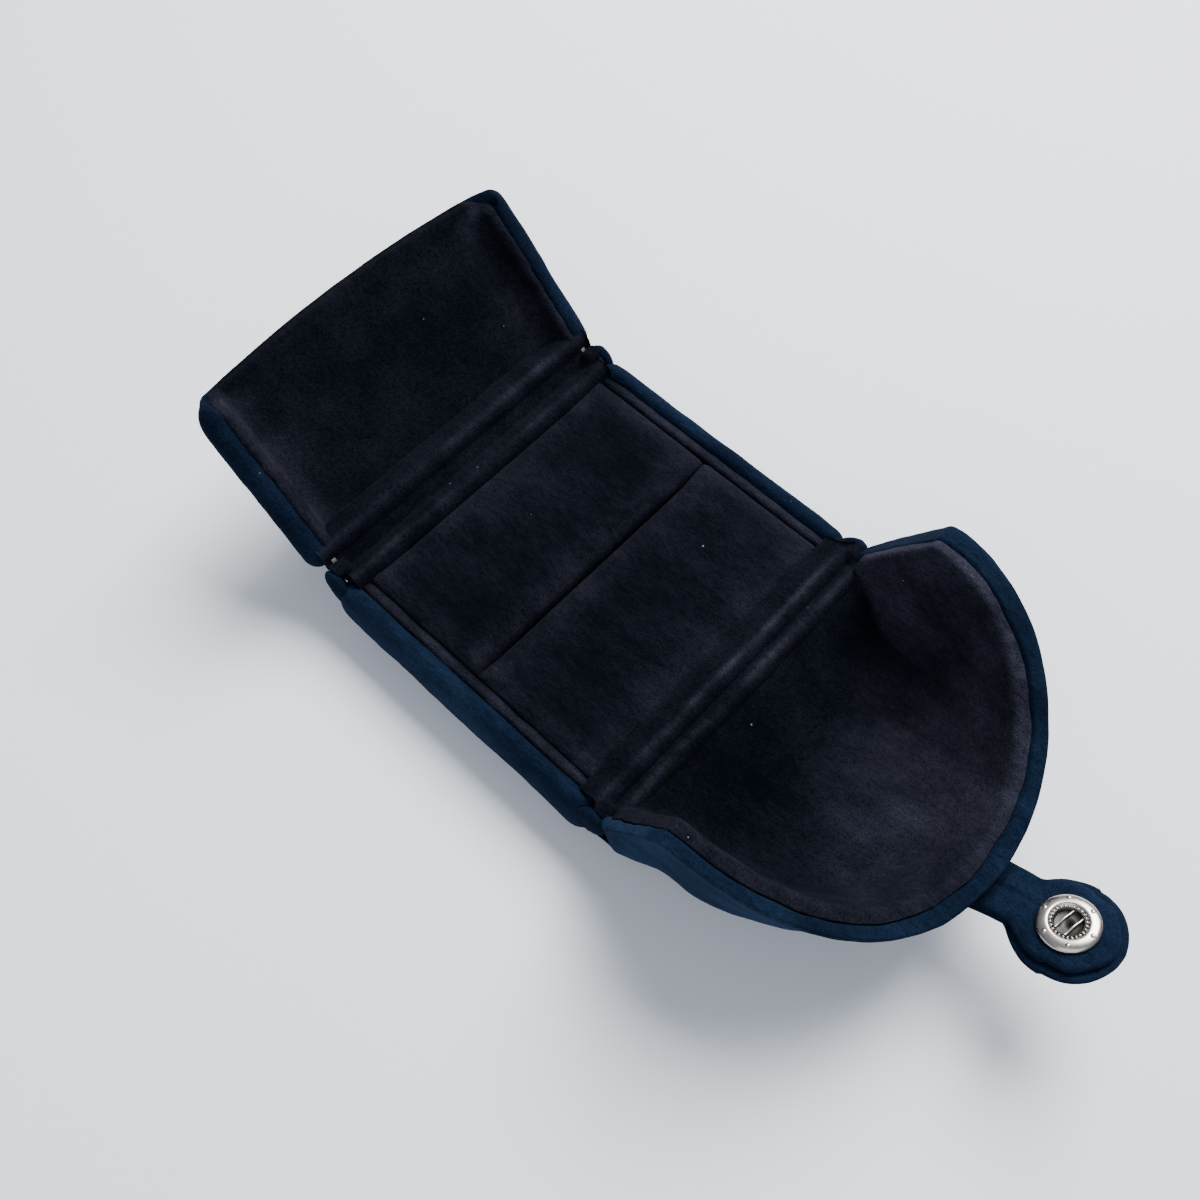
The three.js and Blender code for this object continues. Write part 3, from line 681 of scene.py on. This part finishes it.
def thick_strip(name, line, half_width, thickness, material, hinge=None, cols=90):
    """A profile in the Y-Z plane, given as points and smoothed, drawn across in X, with rounded ends.
    With a hinge, given as (y, z), the ends rise over its lugs."""
    line = np.asarray(line, float)
    for _ in range(3):
        fine = np.empty((2 * len(line) - 1, 2))
        fine[::2] = line
        fine[1::2] = (line[1:] + line[:-1]) / 2
        line = fine
        line[1:-1] = 0.5 * line[1:-1] + 0.25 * (line[:-2] + line[2:])
    ahead = np.gradient(line, axis=0)
    normal = unit(np.column_stack([-ahead[:, 1], ahead[:, 0]]))
    ring = np.vstack([line, (line - normal * thickness)[::-1]])
    rings = []
    for j in range(cols):
        share = math.sin((2 * j / (cols - 1) - 1) * math.pi / 2)
        inset = 1 - dome(share, 60)
        shrunk = ring - np.vstack([normal, normal[::-1]]) * 0.5 * inset
        half = np.full(len(ring), half_width)
        if hinge:
            away = shrunk[:, 0] - hinge[0]
            over = hinge[1] + np.sqrt(np.maximum(LUG_COVER ** 2 - away ** 2, 0))
            at_lug = float(smooth(30.4, 31.6, abs(share * half_width)))
            covered = (np.abs(away) < LUG_COVER) * at_lug
            under = np.concatenate([np.zeros(len(line)), np.full(len(line), 0.25)])
            shrunk[:, 1] = lerp(shrunk[:, 1], np.maximum(shrunk[:, 1], over - under), covered)
            into_tray = (hinge[0] - ring[:, 0]) * math.copysign(1, hinge[0])
            half -= 1.5 * smooth(1.3, 2.3, into_tray)  # narrower inside the tray
        rings.append(np.column_stack([share * half, shrunk]))
    return loft(name, rings, material)


def paint_ridge_highlights(obj, first, second, gain):
    """Painted highlights along two folds at (y, share), broken up along their length, and on convex edges."""
    co = points_of(obj)
    ridge_highlights = sum(share * np.exp(-((co[:, 1] - y) / 0.7) ** 2) for y, share in (first, second))
    broken = np.array([noise.noise(Vector((x * 0.16, y * 0.3, gain))) for x, y in co[:, :2]])
    shown = np.clip(0.75 + 1.3 * broken, 0.15, 1.6)
    paint(obj, 0.02 + gain * ridge_highlights * shown + 0.3 * convex_highlight(obj, 2, 2.6))


def hinge_cloths():
    front = thick_strip(
        "front_hinge_lining",
        [(-27.5, 9.6), (-27.6, 12.0), (-28.1, 12.9), (-29.3, 13.3), (-30.5, 14.0), (-31.4, 14.45),
         (-32.2, 14.2), (-32.8, 13.0), (-33.3, 12.3), (-33.8, 13.0), (-34.5, 14.0), (-35.3, 14.3),
         (-36.0, 13.7), (-36.5, 12.2), (-37.0, 10.4)],
        **HINGE_LINING, material=LINING, hinge=FRONT_HINGE)
    uneven(front, 0.22, 7.0, 7)
    paint_ridge_highlights(front, (-31.1, 1.0), (-35.1, 1.0), 0.42)
    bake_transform(front)
    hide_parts("base_lining_front", "flap_lining_ridge")

    in_lid = [(6.2, -5.2), (5.7, -3.9), (5.3, -2.4), (4.7, -1.4), (3.9, -1.1), (3.0, -1.3), (2.2, -1.9)]
    in_tray = [(33.5, 13.0), (32.8, 12.2), (32.0, 11.9), (31.2, 12.2), (30.5, 13.0), (29.7, 13.7),
               (28.7, 13.9), (27.9, 13.4), (27.6, 12.0), (27.55, 9.8)]
    rear = thick_strip(
        "rear_hinge_lining", [*(lid_world((0, u, v))[1:] for u, v in in_lid), *in_tray],
        **HINGE_LINING, material=LINING, hinge=REAR_HINGE)
    uneven(rear, 0.22, 7.0, 8)
    paint_ridge_highlights(rear, (35.7, 1.0), (28.8, 0.6), 0.36)
    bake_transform(rear)
    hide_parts("base_lining_rear", "lid_lining_rear")

    back = thick_strip(
        "rear_hinge_cover",
        [(30.0, 5.6), (30.9, 6.8), (32.4, 7.6), (34.4, 8.0), (36.4, 8.2), (38.2, 8.9), (39.4, 10.4)],
        30.5, -0.9, NAVY)
    uneven(back, 0.25, 8.0, 9)
    paint(back, 0.1)
    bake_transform(back)

    nose = thick_strip(
        "front_hinge_cover",
        [(-31.8, 5.0), (-32.5, 6.4), (-33.3, 7.4), (-34.3, 8.0), (-35.4, 8.3), (-36.6, 8.2)],
        35.2, 0.9, NAVY)
    uneven(nose, 0.2, 8.0, 10)
    paint(nose, 0.1)
    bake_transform(nose)


EAR = {"bottom": 6.4, "above_hinge": 1.7, "half_width": 3.1, "half_depth": 1.45, "x": 34.75}


def hinge_ears():
    """Small padded gussets on the tray's corners that wrap the ends of the hinges."""
    pieces = []
    for (y, z), end in ((REAR_HINGE, "rear"), (FRONT_HINGE, "front")):
        inward = -1 if y > 0 else 1
        for side, hand in ((-1, "left"), (1, "right")):
            rings = []
            for t in np.linspace(0, 1, 22):
                height = lerp(EAR["bottom"], z + EAR["above_hinge"], t)
                width = EAR["half_width"] * dome(2 * t - 1, 4) * lerp(1.15, 0.95, t) + 0.02
                depth = EAR["half_depth"] * dome(2 * t - 1, 3) + 0.02
                centre = y + inward * lerp(2.4, 1.2, float(smooth(0.1, 0.7, t)))
                ring = []
                for k in range(20):
                    a = 2 * math.pi * k / 20
                    x = side * (EAR["x"] - 0.4 * (1 - t)) + depth * math.cos(a)
                    along = centre + width * math.sin(a)
                    drop = 0.5 * t * max(0.0, inward * (along - y) - 0.6)
                    ring.append((x, along, height - drop))
                rings.append(ring)
            obj = loft(f"hinge_ear_{end}_{hand}", rings, NAVY)
            uneven(obj, 0.18, 3.0, 20 + len(pieces))
            # Painted highlight on the ear's convex edges.
            paint(obj, 0.04 + 0.3 * convex_highlight(obj, 2, 1.5))
            pieces.append(obj)
    return pieces


# ---- front flap with its rounded nose, one scoop of cloth folded at a crease ----
def floor_height(reach):
    crease, depth = CREASE
    along = np.clip((reach - crease) / (SCOOP["foot_reach"] - crease), 0, 1.4)
    return np.where(reach < crease, depth * reach / crease, depth + NOSE_RISE * along ** 1.3)


def scoop_lines(offset, place):
    """Rim, foot and centre points of the scoop, this far out from its inner face.
    A place runs from 0, the hinge, by 1, the ear's corner, to 2, the tip."""
    def floor_at(reach):
        return float(floor_height(reach)) - offset

    angle = min(max(place - 1, 0), 1) * math.pi / 2
    power = 2 / SCOOP["roundness"]
    wide, far = max(math.cos(angle), 0) ** power, math.sin(angle) ** power
    ear, low = SCOOP["ear_length"], 0.85 * offset
    if place <= 1:
        reach = ear * place
        rim = (lerp(SCOOP["hinge_half"], SCOOP["half"], place) + offset, -reach, SCOOP["ear_height"] * place)
        foot = (lerp(SCOOP["foot_hinge_half"], SCOOP["foot_half"], place) + low, -reach, floor_at(reach))
    else:
        reach = ear + (SCOOP["tip_reach"] + offset - ear) * far
        height = SCOOP["tip_height"] + (SCOOP["ear_height"] - SCOOP["tip_height"]) * wide ** SCOOP["rim_fall"]
        rim = ((SCOOP["half"] + offset) * wide, -reach, height)
        reach = ear + (SCOOP["foot_reach"] - ear) * far
        foot = ((SCOOP["foot_half"] + low) * wide, -reach - low * far, floor_at(reach))
        reach = ear + (SCOOP["centre_reach"] - ear) * (place - 1)
    return [np.array(point) for point in (rim, foot, (0, -reach, floor_at(reach)))]


def wall_to_floor(rim, foot, centre, along):
    """A point from 0, the rim, down the wall and over a rounded foot to 1, the middle of the floor."""
    wall_end = lerp(rim, foot, 0.72)
    floor_start = lerp(foot, centre, 0.25)
    if along < 0.4:
        return lerp(rim, wall_end, along / 0.4)
    if along < 0.7:
        t = (along - 0.4) / 0.3
        return lerp(lerp(wall_end, foot, t), lerp(foot, floor_start, t), t)
    return lerp(floor_start, centre, (along - 0.7) / 0.3)


def seam(place, side):
    """Offset at which lining meets cover round the rim. side is -1 for the left and 1 for the right.
    The lining is cut back at the tip and at the right ear, and its edge is ragged."""
    right = float(smooth(1.6, 1.1, place)) * (side > 0)
    cut = 1.15 - 0.65 * float(smooth(1.45, 1.9, place)) + 0.15 * (side < 0) - 0.7 * right
    coarse = noise.noise(Vector((place * 9.0, side * 4.0, 2.0)))
    fine = noise.noise(Vector((place * 22.0, side * 4.0, 5.0)))
    return cut + 0.3 * (coarse + 0.2 * fine)


def belly(place, along):
    """How far, as (out, down), the padded cover swells beside the hinge."""
    beside = float(smooth(0.02, 0.42, place) * smooth(1.75, 0.95, place))
    swell = math.sin(math.pi * min(max((along - 0.04) / 0.72, 0), 1)) ** 1.4
    return 2.7 * beside * swell, 1.9 * beside * swell * float(smooth(1.1, 0.65, place))


def scoop_half(near, far, place, side, sink, bulge, across, padded, steps=8):
    """Half of one ring: up the inner face, over the rim, and back along the outer face.
    The edge starts sink below the rim and rises by bulge, steeply at the seam and softly away from it."""
    lines = [scoop_lines(offset, place) for offset in (near, far)]
    if padded and side > 0:
        lines[1][0][0] += 0.9 * float(smooth(0.3, 1.0, place) * smooth(1.8, 1.1, place))
    rims = [line[0] for line in lines]
    inner_dir = rims[0] - lines[0][1]
    length = np.linalg.norm(inner_dir)
    up = inner_dir / max(length, 1e-6)
    room = min(1.0, length / 6.0)
    low = up * ((sink + 0.4 * padded * float(smooth(1.1, 0.9, place))) * room)
    alongs = np.linspace(0, 1, across)
    outer = [wall_to_floor(rims[1] - low, lines[1][1], lines[1][2], a) for a in alongs]
    inner = [wall_to_floor(rims[0] - low, lines[0][1], lines[0][2], a) for a in alongs]
    if padded:
        swell = [belly(place, a) for a in alongs]
        outer = [p + np.array([out, 0, -down]) for p, (out, down) in zip(outer, swell)]
    edge = []
    for k in range(1, steps):
        t = (k / steps) ** 1.6 if padded else 1 - (1 - k / steps) ** 1.6
        power = 6 if (t < 0.5) == padded else 3
        lift = max(0.0, 1 - abs(2 * t - 1) ** power) ** (1 / power) * bulge * room
        edge.append(lerp(rims[0], rims[1], t) - low + up * lift)
    return np.array(inner[::-1] + edge + outer)


def scoop_rings(near, far, start, sink, bulge, padded, count=110, across=44):
    """Rings of a sheet between two offsets, each a function of place and side. padded is for the cover."""
    places = start + (2 - start) * np.linspace(0, 1, count)
    rings = []
    for place in places:
        left, right = (
            scoop_half(near(place, side), far(place, side), place, side, sink, bulge, across, padded)
            for side in (-1, 1))
        left = left * np.array([-1, 1, 1])
        right = right[::-1]
        tip = smooth(1.93, 2.0, place)
        middle = (left * np.array([-1, 1, 1]) + right[::-1]) / 2
        left = lerp(left, middle * np.array([-1, 1, 1]), tip)
        right = lerp(right, middle[::-1], tip)
        left[0, 0] = left[-1, 0] = 0
        rings.append(np.vstack([left[:-1], right[:-1]]))
    out = np.array(rings)
    near_ear = np.exp(-((places - 1) / 0.09) ** 2)[1:-1, None, None]
    softness = np.where(np.arange(out.shape[1]) < out.shape[1] // 2, 0.9, 0.3)[None, :, None]  # left, right
    for _ in range(8):
        out[1:-1] = lerp(out[1:-1], 0.5 * (out[:-2] + out[2:]), softness * near_ear)
    out[..., 1] += FRONT_HINGE[0]
    out[..., 2] += FRONT_HINGE[1]
    return out


def scoop_region(co):
    """For points of the scoop: how far out from the hinge, and how far across, 1 at the wall's foot."""
    feet = np.array([scoop_lines(0, p)[1] for p in np.linspace(0, 1.9, 60)])
    reach = FRONT_HINGE[0] - co[:, 1]
    half = np.interp(reach, -feet[:, 1], feet[:, 0])
    return reach, np.abs(co[:, 0]) / np.maximum(half, 1.0)


def scoop_outside(place, _side):
    """The cover's outer offset, drawn in to a rounded end beside the hinge."""
    t = min((place - 0.06) / 0.16, 1)
    return 1.7 + 2.1 * dome(1 - t, 2)


def scoop_cover():
    def inside(place, side):
        return seam(place, side) + 0.06

    rings = scoop_rings(inside, scoop_outside, start=0.06, sink=1.0, bulge=1.0, padded=True)
    obj = loft("flap_cover", rings, NAVY, weld=0.02)
    uneven(obj, 0.3, 9.0, 12, lambda p: smooth(-0.1, 1.0, p[:, 2] - 0.6))
    co = points_of(obj)
    reach = FRONT_HINGE[0] - co[:, 1]
    # Painted sheen: the left ear near the hinge and the left-facing outer wall are painted lighter, with a
    # painted highlight on convex edges.
    faces_left = smooth(0.35, 0.8, -normals_of(obj)[:, 0])
    ear = smooth(3, 12, co[:, 2]) * smooth(-14, -28, co[:, 0]) * np.maximum(faces_left, smooth(11, 7, reach))
    paint(obj, 0.2 + 0.62 * ear + 0.08 * convex_highlight(obj, 2, 2.0))
    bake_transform(obj)
    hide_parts("flap_outer_cover", "nose_outer_cover", "flap_board", "nose_board")
    return obj


def scoop_lining():
    rings = scoop_rings(lambda place, side: -1.3, seam, start=0.14, sink=1.15, bulge=0.7, padded=False)
    obj = loft("flap_lining_cloth", rings, LINING, weld=0.02)
    uneven(obj, 0.22, 7.0, 13)
    co = points_of(obj)
    x, (reach, across) = co[:, 0], scoop_region(co)
    # Painted light: the walls are painted lighter, the right wall most, against its shade; the floor is
    # painted lighter toward the nose and the right, and more beside the shaded right wall; convex edges get a
    # painted highlight, stronger to the right.
    wall = smooth(0.97, 1.02, across) * smooth(0.5, 3, reach)
    right_wall = (x > 0) * (smooth(34, 22, reach) + smooth(26, 8, reach))
    rightwards = smooth(-22, 16, x)
    beside_wall = smooth(2, 20, x) * smooth(9, 19, reach) * smooth(42, 30, reach)
    floor = lerp(0.2, 0.62, rightwards) * smooth(15, 36, reach) + 0.28 * beside_wall
    level = np.maximum(floor, wall * (0.16 + 0.5 * right_wall))
    paint(obj, level + convex_highlight(obj, 2, 2.0) * lerp(0.12, 0.35, rightwards))
    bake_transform(obj)
    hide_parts("flap_lining", "nose_lining")
    return obj


# ---- strap ----
def strap_tilt(along):
    """The strap leaves the nose nearly level, turns up, and eases to its resting slope."""
    if along < 0:
        return lerp(STRAP_ROOT_TILT, SEWN_TILT, min(-along / 2.2, 1))
    return lerp(STRAP_ROOT_TILT, STRAP_TILT, min(along / STRAP["bend"], 1))


def strap_line(along):
    """Point (y, z) from the strap's root and the upward normal, a distance along it."""
    steps = 24
    y = z = 0.0
    for i in range(steps):
        tilt = strap_tilt((i + 0.5) * along / steps)
        y -= math.cos(tilt) * along / steps
        z += math.sin(tilt) * along / steps
    tilt = strap_tilt(along)
    return np.array([y, z]), np.array([math.sin(tilt), math.cos(tilt)])


def strap_half_width(along, tab):
    """Half the strap's width: a neck that runs softly into the round tab under the snap."""
    power = 3.4
    to_tab = along - STRAP["snap"]
    disc = math.sqrt(max(tab * tab - to_tab * to_tab, 0))
    if to_tab > 0:
        return max(disc, 0.05)
    neck = lerp(STRAP["half"], STRAP["waist"], min(max(along / (STRAP["snap"] - tab), 0), 1))
    return (neck ** power + disc ** power) ** (1 / power)


def strap_layer(name, bottom, top, tab, facets, seed):
    """One layer from the sewn end to the tip. Its tab is cut with this many soft facets, and a groove runs
    along the neck's middle."""
    length = STRAP["snap"] + tab
    rows, cols = 60, 26
    rings = []
    for i in range(rows):
        along = lerp(-SEWN_LENGTH, length, math.sin(i / (rows - 1) * math.pi / 2))
        (y, z), (ny, nz) = strap_line(along)
        half = strap_half_width(along, tab)
        angle = math.atan2(half, along - STRAP["snap"])
        if facets and along > STRAP["snap"] - tab * 0.7:
            half *= 1 - 0.09 * abs(math.sin(angle * facets / 2)) ** 0.7
        ring = []
        for k in range(cols * 2):
            if k < cols:
                s, high = 2 * k / (cols - 1) - 1, 1
            else:
                s, high = 1 - 2 * (k - cols) / (cols - 1), -1
            edge, tip = dome(s, 6), dome(i / (rows - 1), 40)
            middle, thick = (bottom + top) / 2, (top - bottom) / 2
            h = middle + high * thick * edge * tip
            if high > 0:
                groove = math.exp(-((s * half) / 0.5) ** 2) * smooth(12.5, 9.0, along)
                h -= 0.45 * groove
            ring.append((s * half, y + ny * h, z + nz * h))
        rings.append(ring)
    out = np.array(rings)
    out[..., 1] += STRAP_ROOT[0]
    out[..., 2] += STRAP_ROOT[1]
    obj = loft(name, out, NAVY, weld=0.01)
    uneven(obj, 0.15, 5.0, seed)
    paint(obj, 0.3)
    return obj


def strap():
    layer = STRAP["layer"]
    lower = strap_layer("strap_lower", 0.0, layer, STRAP["tab"], 0, 14)
    upper = strap_layer("strap_upper", layer + 0.05, 2 * layer + 0.3, STRAP["tab"] - 0.9, 6, 15)
    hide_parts("strap_lower_layer", "strap_anchor")
    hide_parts("strap_upper_layer")
    for piece in (lower, upper):
        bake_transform(piece)


# ---- snap ----
def placed(points):
    """Points of a snap built up the Z axis round the origin, moved on to the strap's upper layer."""
    point, normal = strap_line(STRAP["snap"])
    height = 2 * STRAP["layer"] + 0.35
    y = STRAP_ROOT[0] + point[0] + normal[0] * height
    z = STRAP_ROOT[1] + point[1] + normal[1] * height
    up, right = np.array([0, *normal]), np.array([1.0, 0, 0])
    ahead = np.cross(up, right)
    p = np.asarray(points, float)
    return np.array([0, y, z]) + p[..., :1] * right + p[..., 1:2] * ahead + p[..., 2:3] * up


def turned(name, profile, material, segments):
    """A closed profile of (radius, height) points turned about the snap's axis."""
    rings = []
    for k in range(segments):
        a = 2 * math.pi * k / segments
        rings.append(placed([(r * math.cos(a), r * math.sin(a), h) for r, h in profile]))
    rows, cols = segments, len(profile)
    faces = [tuple(v % (rows * cols) for v in face) for face in grid_faces(rows + 1, cols, wrap=True)]
    return make_piece(name, np.reshape(rings, (-1, 3)), faces, material)


def snap():
    ring = turned(
        "snap_ring",
        [(2.15, 0.0), (4.6, 0.0), (4.8, 0.2), (4.8, 0.4), (4.65, 0.7), (4.35, 0.92), (3.9, 1.08),
         (3.45, 1.15), (3.1, 1.17), (2.88, 1.08), (2.78, 0.9), (2.6, 0.72), (2.3, 0.66), (2.15, 0.5)],
        NICKEL, 96)
    subdivide(ring)
    verts, faces = [], []
    small, large = 26, 6  # beads round the hole and on the ring
    for k in range(small):
        a = 2 * math.pi * k / small
        bead(verts, faces, np.array([2.55 * math.cos(a), 2.55 * math.sin(a), 0.82]), 0.24, 6, 4)
    for k in range(large):
        a = 2 * math.pi * (k + 0.5) / large
        bead(verts, faces, np.array([3.85 * math.cos(a), 3.85 * math.sin(a), 1.02]), 0.42, 10, 5, squash=0.5)
    beads = make_piece("snap_beads", placed(verts), faces, NICKEL)
    cup = turned(
        "snap_cup",
        [(0.05, 0.12), (1.2, 0.12), (2.0, 0.16), (2.2, 0.3), (2.25, 0.9), (2.35, 0.9), (2.35, 0.05),
         (0.05, 0.0)], DARK_STEEL, 48)
    verts, faces = [], []
    turn = math.radians(-12)
    s, c = math.sin(turn), math.cos(turn)
    for shift in (-0.95, 0.85):
        path = [(t * c - shift * s, t * s + shift * c, 0.62 + 0.1 * math.cos(t * 2))
                for t in np.linspace(-2.0, 2.0, 24)]
        tube(verts, faces, path, 0.17, 8)
    wire = make_piece("snap_wire", placed(verts), faces, STEEL)
    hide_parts("snap_socket")
    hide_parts("snap_spring_wire")
    return ring, beads, cup, wire


def bead(verts, faces, centre, radius, around, high, squash=1.0):
    """A small closed ball, squashed in height, added to verts and faces."""
    base = len(verts)
    verts.append(tuple(centre + np.array([0, 0, -radius * squash])))
    for i in range(1, high):
        polar = math.pi * i / high
        s, c = math.sin(polar), math.cos(polar)
        for k in range(around):
            a = 2 * math.pi * k / around
            verts.append(tuple(centre + radius * np.array([s * math.cos(a), s * math.sin(a), -c * squash])))
    verts.append(tuple(centre + np.array([0, 0, radius * squash])))
    last = len(verts) - 1
    for k in range(around):
        m = (k + 1) % around
        faces.append((base, base + 1 + m, base + 1 + k))
        for i in range(high - 2):
            row = base + 1 + i * around
            faces.append((row + k, row + m, row + around + m, row + around + k))
        row = base + 1 + (high - 2) * around
        faces.append((row + k, row + m, last))


def tube(verts, faces, path, radius, sides):
    """A closed round wire along a path, added to verts and faces."""
    path = np.asarray(path, float)
    base = len(verts)
    for p, d in zip(path, unit(np.gradient(path, axis=0))):
        a = np.cross(d, (0, 0, 1.0))
        a /= np.linalg.norm(a)
        b = np.cross(d, a)
        for k in range(sides):
            t = 2 * math.pi * k / sides
            verts.append(tuple(p + radius * (math.cos(t) * a + math.sin(t) * b)))
    faces += [tuple(base + v for v in face) for face in grid_faces(len(path), sides, wrap=True)]
    last = base + (len(path) - 1) * sides
    faces.append(tuple(base + k for k in range(sides)))
    faces.append(tuple(last + k for k in reversed(range(sides))))


# ---- stage ----
CAMERA = {"azimuth": -47.16, "elevation": 63.38, "roll": 0.39, "aim": (-5.2, -5.99, 14.0), "away": 0.21176}


def camera():
    azimuth, elevation, tilt = (math.radians(CAMERA[key]) for key in ("azimuth", "elevation", "roll"))
    level = math.cos(elevation)
    back = Vector((math.sin(azimuth) * level, -math.cos(azimuth) * level, math.sin(elevation)))
    right = Vector((math.cos(azimuth), math.sin(azimuth), 0))
    up = back.cross(right)
    r = math.cos(tilt) * right + math.sin(tilt) * up
    u = -math.sin(tilt) * right + math.cos(tilt) * up
    data = bpy.data.cameras.new("camera")
    data.sensor_width = 36
    data.lens = 35.852
    data.clip_start, data.clip_end = 0.005, 20
    obj = bpy.data.objects.new("camera", data)
    place = Vector(CAMERA["aim"]) * MM + back * CAMERA["away"]
    obj.matrix_world = Matrix((
        (r.x, u.x, back.x, place.x), (r.y, u.y, back.y, place.y), (r.z, u.z, back.z, place.z), (0, 0, 0, 1)))
    scene.collection.objects.link(obj)
    scene.camera = obj


def light(name, place, size, energy, colour, aim):
    data = bpy.data.lights.new(name, "AREA")
    data.shape = "SQUARE"
    data.size = size
    data.energy = energy
    data.color = colour
    obj = bpy.data.objects.new(name, data)
    obj.location = place
    obj.rotation_euler = (Vector(aim) - Vector(place)).to_track_quat("-Z", "Y").to_euler()
    scene.collection.objects.link(obj)


def stage():
    side = np.linspace(-900, 900, 24)
    verts = [(x, y, -0.02) for y in side for x in side]
    floor = make_piece("floor", verts, grid_faces(len(side), len(side)), floor_material())
    if floor.data.polygons[0].normal.z < 0:
        floor.data.flip_normals()
    world = bpy.data.worlds.new("studio")
    world.use_nodes = True
    tree = world.node_tree
    kinds = ("ShaderNodeTexCoord", "ShaderNodeSeparateXYZ", "ShaderNodeValToRGB")
    place, split, ramp = (tree.nodes.new(kind) for kind in kinds)
    tree.links.new(place.outputs["Generated"], split.inputs["Vector"])
    tree.links.new(split.outputs["Z"], ramp.inputs["Fac"])
    tree.links.new(ramp.outputs["Color"], tree.nodes["Background"].inputs["Color"])
    low, high = ramp.color_ramp.elements
    low.position, high.position = 0.05, 0.75
    low.color, high.color = (0.40, 0.42, 0.46, 1), (0.82, 0.88, 1.0, 1)
    tree.nodes["Background"].inputs["Strength"].default_value = 0.50
    scene.world = world
    light("key", (0.42, 0.10, 0.62), size=0.48, energy=17.0, colour=(1.0, 0.985, 0.965), aim=(0.01, 0.03, 0))
    light("fill", (-0.60, -0.30, 0.50), size=0.9, energy=3.9, colour=(0.90, 0.95, 1.0), aim=(0, 0, 0))


camera()
stage()

cover = tray_cover()
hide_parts("base_outer_cover")
lid_shell = lid_cover()
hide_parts("lid_outer_cover")
on_base = [cover, *side_rolls(), *pads(), *hinge_ears()]
on_lid = [lid_shell, lid_lining()]
hinge_cloths()
scoop_cover()
scoop_lining()
strap()
for body, pieces in (("base", on_base), ("lid", on_lid), ("strap", snap())):
    for piece in pieces:
        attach(piece, body)

for piece in list(scene.objects):
    if piece.type != "MESH" or "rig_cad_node" in piece:
        continue
    finish = piece.data.materials[0]

# The CAD nodes that show as they are.
kept = {
    STEEL: ("base_frame", "lid_frame", "lid_side_strip_left", "lid_side_strip_right", "flap_frame",
            "rear_hinge_pin_left", "rear_hinge_pin_right", "front_hinge_pin_left", "front_hinge_pin_right"),
    NICKEL: ("snap_stud", "stud_rivet", "snap_cap"),
    CARD: ("base_board", "lid_board"),
}
for finish, nodes in kept.items():
    for node in nodes:
        mesh = frame["nodes"][node].data
        mesh.materials.clear()
        mesh.materials.append(finish)
